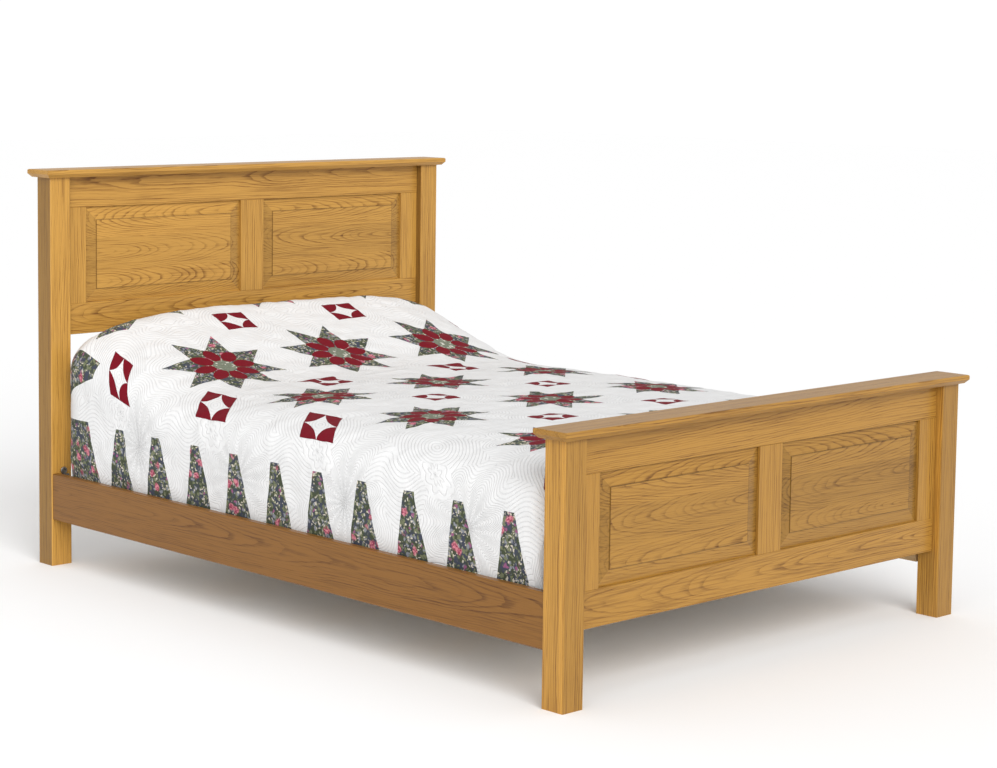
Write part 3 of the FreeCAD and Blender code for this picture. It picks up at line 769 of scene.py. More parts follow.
class QuiltCut:
    """The quilt as cut: rows along the bed and columns across it, with square corners cut out at the foot."""

    def __init__(self, cell):
        s_across, x_across = across_table()
        s_along, y_along = along_table()
        self.edge_u, self.foot_t, self.head_t = s_across[-1], s_along[0], s_along[-1]
        self.down = round((QUILT_EDGE - QUILT_HEM) / cell)
        half = round(self.edge_u / cell)
        top_rows = round((self.head_t - self.foot_t) / cell)
        steps = np.arange(-half - self.down, half + self.down + 1)
        self.columns, self.half = steps, half
        self.rows, self.top_rows = np.arange(-self.down, top_rows + HEAD_ROWS + 1), top_rows
        self.x = np.sign(steps) * np.interp(np.minimum(np.abs(steps), half) * self.edge_u / half, s_across, x_across)
        clipped = np.clip(self.rows, 0, top_rows)
        self.y = np.interp(self.foot_t + clipped * (self.head_t - self.foot_t) / top_rows, s_along, y_along)
        # down the sides, the rows that turn over the foot edge spread evenly
        over_edge = int(np.sum(self.y < QUILT_FOOT + FOOT_REACH)) - self.down
        even = QUILT_FOOT + FOOT_REACH * clipped / over_edge
        self.hem_y = np.where(clipped < over_edge, even, self.y)

    def point(self, column, row):
        """Place in the bed and place on the flat cloth of one grid point."""
        i, j = column - self.columns[0], row - self.rows[0]
        x, y = self.x[i], self.y[j]
        out = max(abs(column) - self.half, 0)
        below = max(-row, 0)
        behind = max(row - self.top_rows, 0)
        z = float(quilt_height(np.array(x), np.array(y)))
        u = np.sign(column) * min(abs(column), self.half) * self.edge_u / self.half
        t = self.foot_t + min(max(row, 0), self.top_rows) * (self.head_t - self.foot_t) / self.top_rows
        drop = max(out, below) / self.down
        if out:
            y += (self.hem_y[j] - y) * drop**0.7
        if drop:
            hang = (z - QUILT_HEM) * drop
            z -= hang
            u += np.sign(column) * hang if out else 0.0
            t -= hang if below else 0.0
        if behind:
            low = min(QUILT_HEAD_HEM, z - HEAD_HANG_LEAST)
            hang = (z - low) * behind / HEAD_ROWS
            z -= hang
            t += hang
        return (x, y, z), (u, t)

    def build(self):
        """Vertices, flat places and faces."""
        index, points, flats = {}, [], []
        for row in self.rows:
            for column in self.columns:
                outside = abs(column) > self.half
                if outside and (row < 0 or row > self.top_rows):
                    continue
                place, flat = self.point(int(column), int(row))
                index[(column, row)] = len(points)
                points.append(place)
                flats.append(flat)
        faces = []
        for row in self.rows[:-1]:
            for column in self.columns[:-1]:
                corners = [(column, row), (column + 1, row), (column + 1, row + 1), (column, row + 1)]
                if all(corner in index for corner in corners):
                    faces.append([index[corner] for corner in corners])
        return np.array(points), np.array(flats), faces


# ---- cloth ----
SWELL_FRAMES = 20
DRAPE_FRAMES = 24
DRAPE_MOST = 0.006
DRAPE_ROUNDS = 8  # times that each point's move is shared with its neighbours
STAND_OFF = 0.006  # between the quilt and what it rests on
PIPING_SIDES = 8
PIPING_STEP = 0.03


def soft_noise(points, scale, seed):
    """Smooth noise between about -1 and 1 at each point."""
    shift = Vector((seed * 13.1, seed * 7.7, seed * 3.3))
    return np.array([noise.noise(Vector(p) * scale + shift) for p in points])


def read_points(mesh, what="co"):
    """A mesh's vertices as an array, or their normals."""
    flat = np.empty(len(mesh.vertices) * 3)
    mesh.vertices.foreach_get(what, flat)
    return flat.reshape(-1, 3)


def write_points(mesh, points):
    """Moves a mesh's vertices."""
    mesh.vertices.foreach_set("co", points.ravel())
    mesh.update()


def swell(obj, by):
    """Moves each point of a piece outwards along its normal."""
    write_points(obj.data, read_points(obj.data) + read_points(obj.data, "normal") * by[:, None])


def capped(points, start, most):
    """points, none of them further than most from start."""
    move = points - start
    length = np.linalg.norm(move, axis=1, keepdims=True)
    return start + move * np.minimum(1.0, most / np.maximum(length, 1e-9))


def evened(mesh, moves, rounds):
    """Each point's move shared with its neighbours, so that no sharp ridge is left."""
    ends = np.array([edge.vertices[:] for edge in mesh.edges])
    beside = np.bincount(ends.ravel(), minlength=len(moves))[:, None]
    for _ in range(rounds):
        total = np.zeros_like(moves)
        np.add.at(total, ends[:, 0], moves[ends[:, 1]])
        np.add.at(total, ends[:, 1], moves[ends[:, 0]])
        moves = (moves + total / beside) / 2
    return moves


def run_cloth(obj, frames, most, colliders=()):
    """Runs the cloth simulation that obj carries, with movement capped, and leaves its shape in the mesh."""
    start = read_points(obj.data)
    scene = bpy.context.scene
    for frame_number in range(1, frames + 1):
        scene.frame_set(frame_number)
    ready = obj.evaluated_get(bpy.context.evaluated_depsgraph_get())
    result = read_points(ready.data)
    obj.modifiers.clear()
    for other in colliders:
        other.modifiers.clear()
    scene.frame_set(1)
    write_points(obj.data, capped(result, start, most))


def merge(data, near):
    """Merges a mesh's points that lie closer than near."""
    mesh = bmesh.new()
    mesh.from_mesh(data)
    bmesh.ops.remove_doubles(mesh, verts=mesh.verts, dist=near)
    mesh.to_mesh(data)
    mesh.free()


def copy_of_node(node, name):
    """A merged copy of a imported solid's mesh as a new piece."""
    piece = add_to_scene(name, NODES[node].data.copy())
    piece.data.materials.clear()
    merge(piece.data, 0.0001)
    return piece


def stuff(piece, voxel, pressure, most, rounds=4):
    """Remeshes a closed form evenly, softens it and swells it with the cloth simulation."""
    set_up(piece.modifiers.new("even", "REMESH"), mode="VOXEL", voxel_size=voxel)
    set_up(piece.modifiers.new("soften", "SMOOTH"), iterations=rounds, factor=0.5)
    apply_all(piece)
    cloth = piece.modifiers.new("swell", "CLOTH")
    set_up(cloth.settings, quality=5, mass=0.3, use_pressure=True, uniform_pressure_force=pressure,
           tension_stiffness=18.0, compression_stiffness=18.0, bending_stiffness=0.8)
    cloth.settings.effector_weights.gravity = 0.0
    cloth.collision_settings.use_collision = False
    run_cloth(piece, SWELL_FRAMES, most)


def tube_round(name, points, radius):
    """A closed round tube through points."""
    sides, ring = PIPING_SIDES, np.array(points)
    ahead = np.roll(ring, -1, axis=0) - np.roll(ring, 1, axis=0)
    ahead /= np.linalg.norm(ahead, axis=1, keepdims=True)
    up = np.array([0.0, 0.0, 1.0])
    side = np.cross(ahead, up)
    side /= np.linalg.norm(side, axis=1, keepdims=True)
    turns = np.linspace(0.0, 2 * math.pi, sides, endpoint=False)
    rings = [[centre + radius * (math.cos(a) * out + math.sin(a) * up) for a in turns]
             for centre, out in zip(ring, side)]
    count = len(rings)
    faces = []
    for k in range(count):
        for m in range(sides):
            nxt, after = (k + 1) % count, (m + 1) % sides
            faces.append([k * sides + m, nxt * sides + m, nxt * sides + after, k * sides + after])
    mesh = bpy.data.meshes.new(name)
    mesh.from_pydata([tuple(p) for r in rings for p in r], [], faces)
    piece = add_to_scene(name, mesh)
    edit(piece, "FACE", lambda face: True)
    bpy.ops.mesh.normals_make_consistent(inside=False)
    object_mode()
    smooth(piece)
    return piece


def plan_round(back, radius, z):
    """Points round the mattress's plan, set back from its edge, with rounded corners, at height z."""
    half_x, half_y = MATTRESS_HALF - back, MATTRESS_END - back
    points = []
    for cx, cy, start in ((1, 1, 0), (-1, 1, 90), (-1, -1, 180), (1, -1, 270)):
        for turn in np.linspace(0.0, 90.0, 9):
            angle = math.radians(start + turn)
            points.append((cx * (half_x - radius) + radius * math.cos(angle),
                           cy * (half_y - radius) + radius * math.sin(angle), z))
    full = []
    for point, following in zip(np.array(points), np.roll(points, -1, axis=0)):
        parts = max(1, round(math.dist(point, following) / PIPING_STEP))
        full += [point + (following - point) * m / parts for m in range(parts)]
    return full


def add_piping(piece, name, rounds):
    """Joins piping to a piece: for each round its height, how far back it runs and the radius of its corners."""
    radius = bpy.context.scene.bed_bedding.piping
    rims = [tube_round(f"piping_{k}", plan_round(back, corner, z), radius)
            for k, (z, back, corner) in enumerate(rounds)]
    piece = join([piece] + rims, name)
    piece.data.materials.clear()
    return piece


def cloth_material(name, base, second, weave, figure=None, bump=0.0012):
    """Plain woven cloth. figure is a repeat in metres for a stitched diamond figure."""
    material, surface = new_material(name)
    place = surface.place()
    x, y, z = surface.split(place)
    threads = surface.noise(surface.vector(x * weave, y * weave, z * weave * 2.0), 1.0, 2.0)
    cloud = surface.noise(place, 7.0, 3.0)
    height = threads * 0.12 + cloud * 0.2
    shade = cloud.ease(0.3, 0.75)
    if figure:
        plan = x + y
        first = ((plan + z) / figure).part() - 0.5
        other = ((plan - z) / figure).part() - 0.5
        lines = (first.size().ease(0.40, 0.5)) | (other.size().ease(0.40, 0.5))
        height = height - lines * 0.9
        shade = shade * 0.5 + lines * 0.5
    finish_material(surface, {
        "Base Color": surface.mix(shade, base, second), "Roughness": threads * 0.1 + 0.78,
        "Normal": surface.bump(height, bump, 0.7), "Sheen Weight": 0.2, "Sheen Roughness": 0.5})
    return material


BOX_BACK = 0.004  # how far the box spring's sides lie back from the mattress's
BOX_CORNER = 0.046
BOX_ARRIS = 0.009
BOX_TUCK = 0.0025
BOX_PRESSURE = 0.6
MATTRESS_PRESSURE = 0.8
PADDED_MOST = 0.004  # how far the simulation may move a point of box spring or mattress
PILLOW_MOST = 0.005
PILLOW_VOXEL = 0.012
PILLOW_LUMPS = 0.0018
PILLOW_SHRINK = 0.0015
# rounds of piping: height, how far back from the mattress's edge, and radius of the corners
BOX_PIPING = tuple((z, 0.0055, 0.045) for z in (BOX_LOW + 0.008, BOX_HIGH - 0.008))
MATTRESS_PIPING = ((0.402, 0.006, 0.030), (0.478, 0.009, 0.030))
FOUNDATION_GREYS = ((0.66, 0.64, 0.60, 1.0), (0.56, 0.54, 0.50, 1.0))
TICKING_WHITES = ((0.78, 0.77, 0.74, 1.0), (0.66, 0.66, 0.66, 1.0))
TICKING_FIGURE = 0.075
PILLOW_WHITES = ((0.84, 0.83, 0.80, 1.0), (0.74, 0.73, 0.71, 1.0))


class BED_OT_box_spring(bpy.types.Operator):
    """Model the covered box spring with its piping"""

    bl_idname = "panel_bed.box_spring"
    bl_label = "Box spring"

    def execute(self, context):
        middle = (BOX_LOW + BOX_HIGH) / 2
        bpy.ops.mesh.primitive_cube_add(size=1, location=(0, 0, middle))
        box = context.active_object
        box.scale = (2 * (MATTRESS_HALF - BOX_BACK), 2 * (MATTRESS_END - BOX_BACK), BOX_HIGH - BOX_LOW)
        settle(box)
        bevel(box, lambda e: abs(e.verts[0].co.z - e.verts[1].co.z) > 0.1, BOX_CORNER, segments=6)
        bevel(box, lambda e: abs(e.verts[0].co.z - e.verts[1].co.z) < 1e-4, BOX_ARRIS)
        stuff(box, context.scene.bed_bedding.voxel, BOX_PRESSURE, PADDED_MOST, rounds=2)
        # the cover is drawn in a little between the two rounds of piping
        share = (read_points(box.data)[:, 2] - middle) / (middle - BOX_LOW)
        swell(box, -BOX_TUCK * np.clip(1.0 - share**2, 0.0, 1.0) * (np.abs(share) < 0.98))
        smooth(box)
        box = add_piping(box, "covered_box_spring", BOX_PIPING)
        box.data.materials.append(cloth_material("foundation cloth", *FOUNDATION_GREYS, 900.0))
        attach(box, "bedding")
        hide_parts("box_spring")
        return {"FINISHED"}


class BED_OT_mattress(bpy.types.Operator):
    """Model the mattress: swollen crown, stitched border and two rows of piping"""

    bl_idname = "panel_bed.mattress"
    bl_label = "Mattress"

    def execute(self, context):
        mattress = copy_of_node("mattress", "soft_mattress")
        stuff(mattress, context.scene.bed_bedding.voxel, MATTRESS_PRESSURE, PADDED_MOST, rounds=3)
        smooth(mattress)
        mattress = add_piping(mattress, "soft_mattress", MATTRESS_PIPING)
        mattress.data.materials.append(cloth_material("mattress ticking", *TICKING_WHITES, 800.0, TICKING_FIGURE,
                                                      0.003))
        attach(mattress, "bedding")
        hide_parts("mattress")
        return {"FINISHED"}


class BED_OT_pillows(bpy.types.Operator):
    """Model the two pillows under the quilt"""

    bl_idname = "panel_bed.pillows"
    bl_label = "Pillows"

    def execute(self, context):
        cotton = cloth_material("pillow cotton", *PILLOW_WHITES, 1200.0)
        for word, seed in (("left", 2.0), ("right", 3.0)):
            pillow = copy_of_node(f"pillow_{word}", f"soft_pillow_{word}")
            stuff(pillow, PILLOW_VOXEL, context.scene.bed_bedding.plumpness, PILLOW_MOST)
            swell(pillow, PILLOW_LUMPS * soft_noise(read_points(pillow.data), 14.0, seed) - PILLOW_SHRINK)
            smooth(pillow)
            pillow.data.materials.append(cotton)
            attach(pillow, "bedding")
            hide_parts(f"pillow_{word}")
        return {"FINISHED"}


# ---- quilt: u runs across the flat cloth and t along it, from the bed's middle ----
STAR_ROW = -0.288  # one row of stars
STAR_TIP = 0.200
STAR_VALLEY = 0.108
PETAL_MIDDLE = 0.071
PETAL_HALF_LONG = 0.041
PETAL_HALF_WIDE = 0.0245
EYE_R = 0.037
STARS_TO_U = 0.70
STARS_FROM_T = -1.00
STAR_CUT = (0.940, 0.042)  # where the pillows' crest cuts the last row off, and half of how wide
LAST_STARS = (0.93, 0.97, 0.05)  # from where to where the last row moves up, and how far
FLAT_END = (0.40, 0.44)  # where the flat top ends and the pillows' slope starts
FLAT_STAR = (0.16, 0.24)  # how much smaller a star is on the flat top, across and along
FLAT_SQUARE = (0.36, 0.44)
BLOCK_HALF = 0.070  # half of an orange-peel square
PEEL_OFF = 1.25  # middle of a peel's circle, in halves of the square
PEEL_R = 1.275
SQUARES_TO_U = 0.86
SQUARES_FROM_T = -1.05
SQUARES_TO_T = 0.985
BARE_SHOULDER = (0.5225, 0.12)  # place without a square on the shoulder, and half of how long
MIDDLE_U = 0.50  # squares further out than this lie on the bed's shoulders
SHOULDER_SLANT = (0.60, 0.22, 0.78)  # from where, over what width and how steeply the squares slant
SHOULDER_BACK = (0.56, 0.62, 0.045)
SIDE_ROW_T = 0.60
SIDE_ROW_OUT = 0.072
SIDE_ROW_FROM_U = 0.66
DRAWN_FROM = (0.68, 0.72)
DRAWN_SMALLER = (0.17, 0.42)
DRAWN_UP = 0.028
SLID_FROM = (0.28, 0.32)
SLID_TO = (0.52, 0.56)
SLID_IN = 0.033
SLID_DOWN = 0.037
WEDGE_PITCH = 0.1835
WEDGE_FIRST = -0.906
WEDGE_TOP = 0.462
WEDGE_HALF_TOP = 0.018
WEDGE_SPREAD = 0.222
WEDGE_LEAN = 0.07
CORNER_TOP = 0.467  # the wide piece at the head end of the border
CORNER_FROM = 0.905
CORNER_LEAN = 0.333
POINT_FROM = (0.758, 0.908)  # a blunt point at the head corner: least u and t
POINT_EDGE = (0.67, 0.200)
LEAF_MIDDLE = (0.600, 1.148)
LEAF_HALF = (0.105, 0.052)
ECHO_PITCH = 0.0125  # between two lines of quilting
ROSETTE_Z = 0.515
ROSETTE_R = 0.062
ROSETTE_PITCH = 0.022
SEAM_HALF = 0.0016
SEWN_WITHIN = 0.0005  # points of the cut corners that lie closer than this are one
HELD_UP_TO = 0.03  # how far above its hem the cloth is held while it settles
HELD_AT_HEAD = (0.06, 0.05)  # the same at the head end: how far in from its face, and how far up
RAIL_LINE = (0.295, 0.05)  # where the cloth comes clear of the rails, and over what height
RAIL_PRESS = 0.0022
SLACK = 0.004
OWN_SIDE_TO = 0.31  # up to this height it must not touch the rails
END_SLACK = 0.002
CALICO_GROUNDS = ((0.060, 0.072, 0.042, 1.0), (0.055, 0.062, 0.090, 1.0))
EYE_GREENS = ((0.10, 0.12, 0.08, 1.0), (0.24, 0.26, 0.20, 1.0))
ROSE_PINKS = ((0.27, 0.045, 0.085, 1.0), (0.66, 0.24, 0.29, 1.0))
# leaves, stems, buds and small flowers of the print: how fine, how rare, how large, how soft, and their colour
CALICO_FIGURES = (
    (88.0, 0.25, 0.36, 0.16, (0.165, 0.18, 0.105, 1.0)),
    (76.0, 0.60, 0.30, 0.18, (0.24, 0.25, 0.28, 1.0)),
    (118.0, 0.50, 0.24, 0.20, (0.60, 0.55, 0.45, 1.0)),
    (64.0, 0.78, 0.22, 0.16, (0.28, 0.10, 0.20, 1.0)),
)


def star_edge():
    """Unit normal and offset of a star's straight edge, in the frame of its tip."""
    valley = (STAR_VALLEY * math.cos(math.pi / 8), STAR_VALLEY * math.sin(math.pi / 8))
    run = (STAR_TIP - valley[0], -valley[1])
    length = math.hypot(*run)
    normal = (-run[1] / length, run[0] / length)
    return normal, normal[0] * STAR_TIP


def calico(surface, flat, eye):
    """A small floral print on a dark green-grey ground, greener in the stars' middles."""
    bend_u, bend_t, _ = surface.split(surface.noise(flat, 60.0, 2.0, 0.6, colour=True))
    u, t, _ = surface.split(flat)
    flat = surface.vector(u + (bend_u - 0.5) * 0.024, t + (bend_t - 0.5) * 0.024)

    def scatter(colour, scale, share, near, edge, tint):
        chance = surface.split(surface.spots(flat, scale, colour=True))[0]
        patch = surface.spots(flat, scale).ease(near, near + edge, 1.0, 0.0) & (chance > share)
        return surface.mix(patch, colour, tint)

    colour = surface.mix(surface.noise(flat, 40.0, 3.0).ease(0.42, 0.60), *CALICO_GROUNDS)
    for figure in CALICO_FIGURES:
        colour = scatter(colour, *figure)
    shade = surface.noise(flat, 130.0, 2.0)
    colour = scatter(colour, 27.0, 0.60, 0.24, 0.16, surface.mix(shade.ease(0.40, 0.60), *ROSE_PINKS))
    green = scatter(surface.mix(shade, *EYE_GREENS), 90.0, 0.5, 0.25, 0.2, (0.66, 0.64, 0.56, 1.0))
    return surface.mix(eye, colour, green)


def star_shape(surface, du, dt):
    """For a place beside a star's middle: how far off it is, its angle from the nearest tip, how far it lies outside
    the star's edge, and whether it is on a petal."""
    eighth = math.pi / 4
    far = du.reach(dt)
    turn = surface.math("ARCTAN2", dt, du)
    from_petal = (turn + eighth / 2).centred(eighth).size()
    from_tip = (eighth / 2) - from_petal
    normal, offset = star_edge()
    outside = far * from_tip.math("COSINE") * normal[0] + far * from_tip.math("SINE") * normal[1] - offset
    bend = (PETAL_HALF_LONG**2 + PETAL_HALF_WIDE**2) / (2 * PETAL_HALF_WIDE)
    along_petal = far * from_petal.math("COSINE") - PETAL_MIDDLE
    beside_petal = far * from_petal.math("SINE") + (bend - PETAL_HALF_WIDE)
    return far, from_tip, outside, (along_petal.reach(beside_petal) < bend) & (far > EYE_R)


def square_place(u, t, plain_u, flat_row, side_row, across, along):
    """Place beside the nearest orange-peel square's middle, and place along the slanting rows of squares."""
    start, width, slope = SHOULDER_SLANT
    slant = (plain_u - start).math("MAXIMUM", 0.0).low(width) * slope
    t_block = t + (slant - plain_u.ease(*SHOULDER_BACK[:2]) * SHOULDER_BACK[2])
    in_middle = plain_u < MIDDLE_U
    # the squares by the pillows are drawn up, and the row below them has slid towards the foot
    drawn = t_block.ease(*DRAWN_FROM)
    slid = t.ease(*SLID_FROM) & (1.0 - t.ease(*SLID_TO)) & in_middle
    level = flat_row & in_middle
    # where the cloth climbs the pillow's side they spread
    outward = u.math("SIGN") * side_row * SIDE_ROW_OUT
    bu = (u - outward - u.math("SIGN") * slid * SLID_IN).centred(across)
    bt = (t_block - STAR_ROW + slid * SLID_DOWN - drawn * in_middle * DRAWN_UP).centred(along)
    return (bu * (drawn * DRAWN_SMALLER[0] + level * FLAT_SQUARE[0] + 1.0),
            bt * (drawn * DRAWN_SMALLER[1] + level * FLAT_SQUARE[1] + 1.0), t_block)


def border_pieces(surface, x, y, z, plain_u, plain_t):
    """Where the wedge border and the pieces at the head corners are. They follow the bed, and all end level."""
    on_sides = x.size() > QUILT_HALF - 0.03
    low = WEDGE_TOP - z
    place = surface.mix(on_sides, surface.vector(x), surface.vector(y - WEDGE_FIRST + low * WEDGE_LEAN))
    wedge_far = (surface.split(place)[0] + WEDGE_PITCH / 2).centred(WEDGE_PITCH).size()
    wedge = (wedge_far < low * WEDGE_SPREAD + WEDGE_HALF_TOP) & (low > 0.0) & (z < 0.50)
    corner_low = CORNER_TOP - z
    corner = (y + corner_low * CORNER_LEAN > CORNER_FROM) & (corner_low > 0.0) & on_sides
    point = ((plain_u > POINT_FROM[0]) & (plain_u < plain_t * POINT_EDGE[0] + POINT_EDGE[1])
             & (plain_t > POINT_FROM[1]) & (z > 0.50))
    leaf = (((plain_u - LEAF_MIDDLE[0]) / LEAF_HALF[0]).size()
            + ((plain_t - plain_u * -0.20 - LEAF_MIDDLE[1]) / LEAF_HALF[1]).size()) < 1.0
    return wedge | corner | (point | leaf), low, on_sides


def stitching(surface, y, z, low, on_sides, echo_star, echo_block, bt):
    """Echo quilting at even distances from the stars, the squares and the border, and rosettes on the sides."""
    side_echo = (z - WEDGE_TOP + (y * 34.0).math("SINE") * 0.022).size()
    nearest = echo_star.low(echo_block).low((low > -0.10) * side_echo + (low < -0.10) * 1.0)
    lines = ((nearest / ECHO_PITCH).part() - 0.5).size().ease(0.30, 0.5)
    up = z - ROSETTE_Z
    far = bt.reach(up)
    scallop = (surface.math("ARCTAN2", up, bt) * 8.0).math("COSINE") * 0.006
    rings = (((far + scallop) / ROSETTE_PITCH).part() - 0.5).size().ease(0.30, 0.5)
    in_rosette = (far < ROSETTE_R) & on_sides & (z < 0.60)
    return lines * (1.0 - in_rosette) + rings * in_rosette


def quilt_material(design):
    """Pieced cotton: calico stars with burgundy petals, orange-peel squares, a calico wedge border, echo quilting."""
    material, surface = new_material("pieced quilt")
    flat = surface.node("UVMap", uv_map="flat")
    u, t, _ = surface.split(flat)
    x, y, z = surface.split(surface.place())
    plain_u, plain_t = u.size(), t
    # seams wander a little, as sewn ones do
    shift_u, shift_t, _ = surface.split(surface.noise(flat, 9.0, 2.0, 0.5, colour=True))
    u = u + (shift_u - 0.5) * 0.006
    t = t + (shift_t - 0.5) * 0.006
    across, along = design.star_across, design.star_along
    flat_row = 1.0 - t.ease(*FLAT_END)
    side_row = (plain_u > MIDDLE_U) & (plain_t > SIDE_ROW_T)
    # stars
    du = (u + across / 2).centred(across) * (flat_row * FLAT_STAR[0] + 1.0)
    last_up = plain_t.ease(*LAST_STARS[:2]) * LAST_STARS[2]
    dt = (t - last_up - STAR_ROW + along / 2).centred(along) * (flat_row * FLAT_STAR[1] + 1.0)
    far, from_tip, outside, on_petal = star_shape(surface, du, dt)
    in_field = ((u.size() < STARS_TO_U) & (t > STARS_FROM_T)
                & ((plain_t - STAR_CUT[0]).size() > STAR_CUT[1]))
    petal = on_petal & in_field
    star = (outside < 0.0) & in_field & (1.0 - (plain_u > 0.45) * (plain_t > 0.98))
    # squares
    bu, bt, t_block = square_place(u, t, plain_u, flat_row, side_row, across, along)
    block_edge = bu.size() | bt.size()
    peel_far = (BLOCK_HALF * PEEL_OFF - bu.size()).reach(BLOCK_HALF * PEEL_OFF - bt.size())
    in_blocks = ((plain_u < SQUARES_TO_U) & (t > SQUARES_FROM_T) & (plain_t < SQUARES_TO_T)
                 & (((t_block + BARE_SHOULDER[0]).size() > BARE_SHOULDER[1]) | (plain_u < MIDDLE_U))
                 & (1.0 - side_row * (plain_u < SIDE_ROW_FROM_U)))
    peel = (block_edge < BLOCK_HALF) & (peel_far < BLOCK_HALF * PEEL_R) & in_blocks
    border, low, on_sides = border_pieces(surface, x, y, z, plain_u, plain_t)
    printed = (star & (1.0 - petal)) | border
    plain_dark = petal | peel
    # quilting
    lobes = (from_tip * 8.0).math("COSINE") * far.ease(0.10, 0.30, 0.036, 0.008)
    stitch = stitching(surface, y, z, low, on_sides, far - lobes - 0.150, bu.reach(bt) - BLOCK_HALF * 1.2, bt)
    on_ground = 1.0 - (printed | plain_dark)
    seam_gap = (((outside.size() < SEAM_HALF) & in_field)
                | ((block_edge - BLOCK_HALF).size() < SEAM_HALF) & in_blocks)
    weave = surface.noise(flat, 900.0, 2.0)
    pucker = surface.noise(flat, 46.0, 3.0, 0.6)
    height = (1.0 - stitch * on_ground) * 0.62 + pucker * 0.55 + weave * 0.05 - seam_gap * 0.5
    # painted shade: the ground is darkened along the quilting lines and in patches that follow the puckers, and the
    # burgundy is darker where the puckers' noise is high, standing in for the shading of the quilt's relief
    ground = surface.mix(stitch * 0.13 + pucker.ease(0.35, 0.7) * 0.12, tuple(design.ground),
                         toned(design.ground, 0.80))
    red = surface.mix(pucker, tuple(design.burgundy), toned(design.burgundy, 0.66))
    colour = surface.mix(printed, ground, calico(surface, flat, (far < EYE_R) & in_field))
    finish_material(surface, {
        "Base Color": surface.mix(plain_dark, colour, red), "Roughness": weave * 0.1 + 0.82,
        "Normal": surface.bump(height, 0.0026, 0.75), "Sheen Weight": 0.03, "Sheen Roughness": 0.4,
        "Specular IOR Level": 0.15})
    return material


def quilt_relief(flats, points, puff):
    """How far each point of the outer face stands up: puckers, soft swags and slack above the rails."""
    cloth = np.column_stack([flats, np.zeros(len(flats))])
    pucker = soft_noise(cloth, 21.0, 1.0) + 0.5 * soft_noise(cloth, 43.0, 5.0)
    slack = soft_noise(cloth * [1.0, 1.6, 1.0], 3.4, 8.0)
    free = np.clip((points[:, 2] - RAIL_LINE[0]) / RAIL_LINE[1], 0.0, 1.0)
    ripple = soft_noise(cloth * [1.0, 1.3, 1.0], 13.0, 11.0)
    return (puff * (pucker + 0.7 * ripple) + SLACK * slack) * free - RAIL_PRESS * (1.0 - free)


def hem_in_order(mesh, first=0):
    """The open edge's vertices from number first on, one after another round the cloth."""
    mesh.verts.ensure_lookup_table()
    on_hem = {v for v in mesh.verts[first:] if v.is_boundary}
    start = min(on_hem, key=lambda v: v.index)
    loop, last = [start], None
    while True:
        ahead = [e.other_vert(loop[-1]) for e in loop[-1].link_edges if e.is_boundary]
        step = next(v for v in ahead if v is not last)
        if step is start:
            return loop
        last = loop[-1]
        loop.append(step)


def corner_vertices(mesh):
    """The number of the vertex at each corner of a mesh's faces."""
    numbers = np.empty(len(mesh.loops), int)
    mesh.loops.foreach_get("vertex_index", numbers)
    return numbers


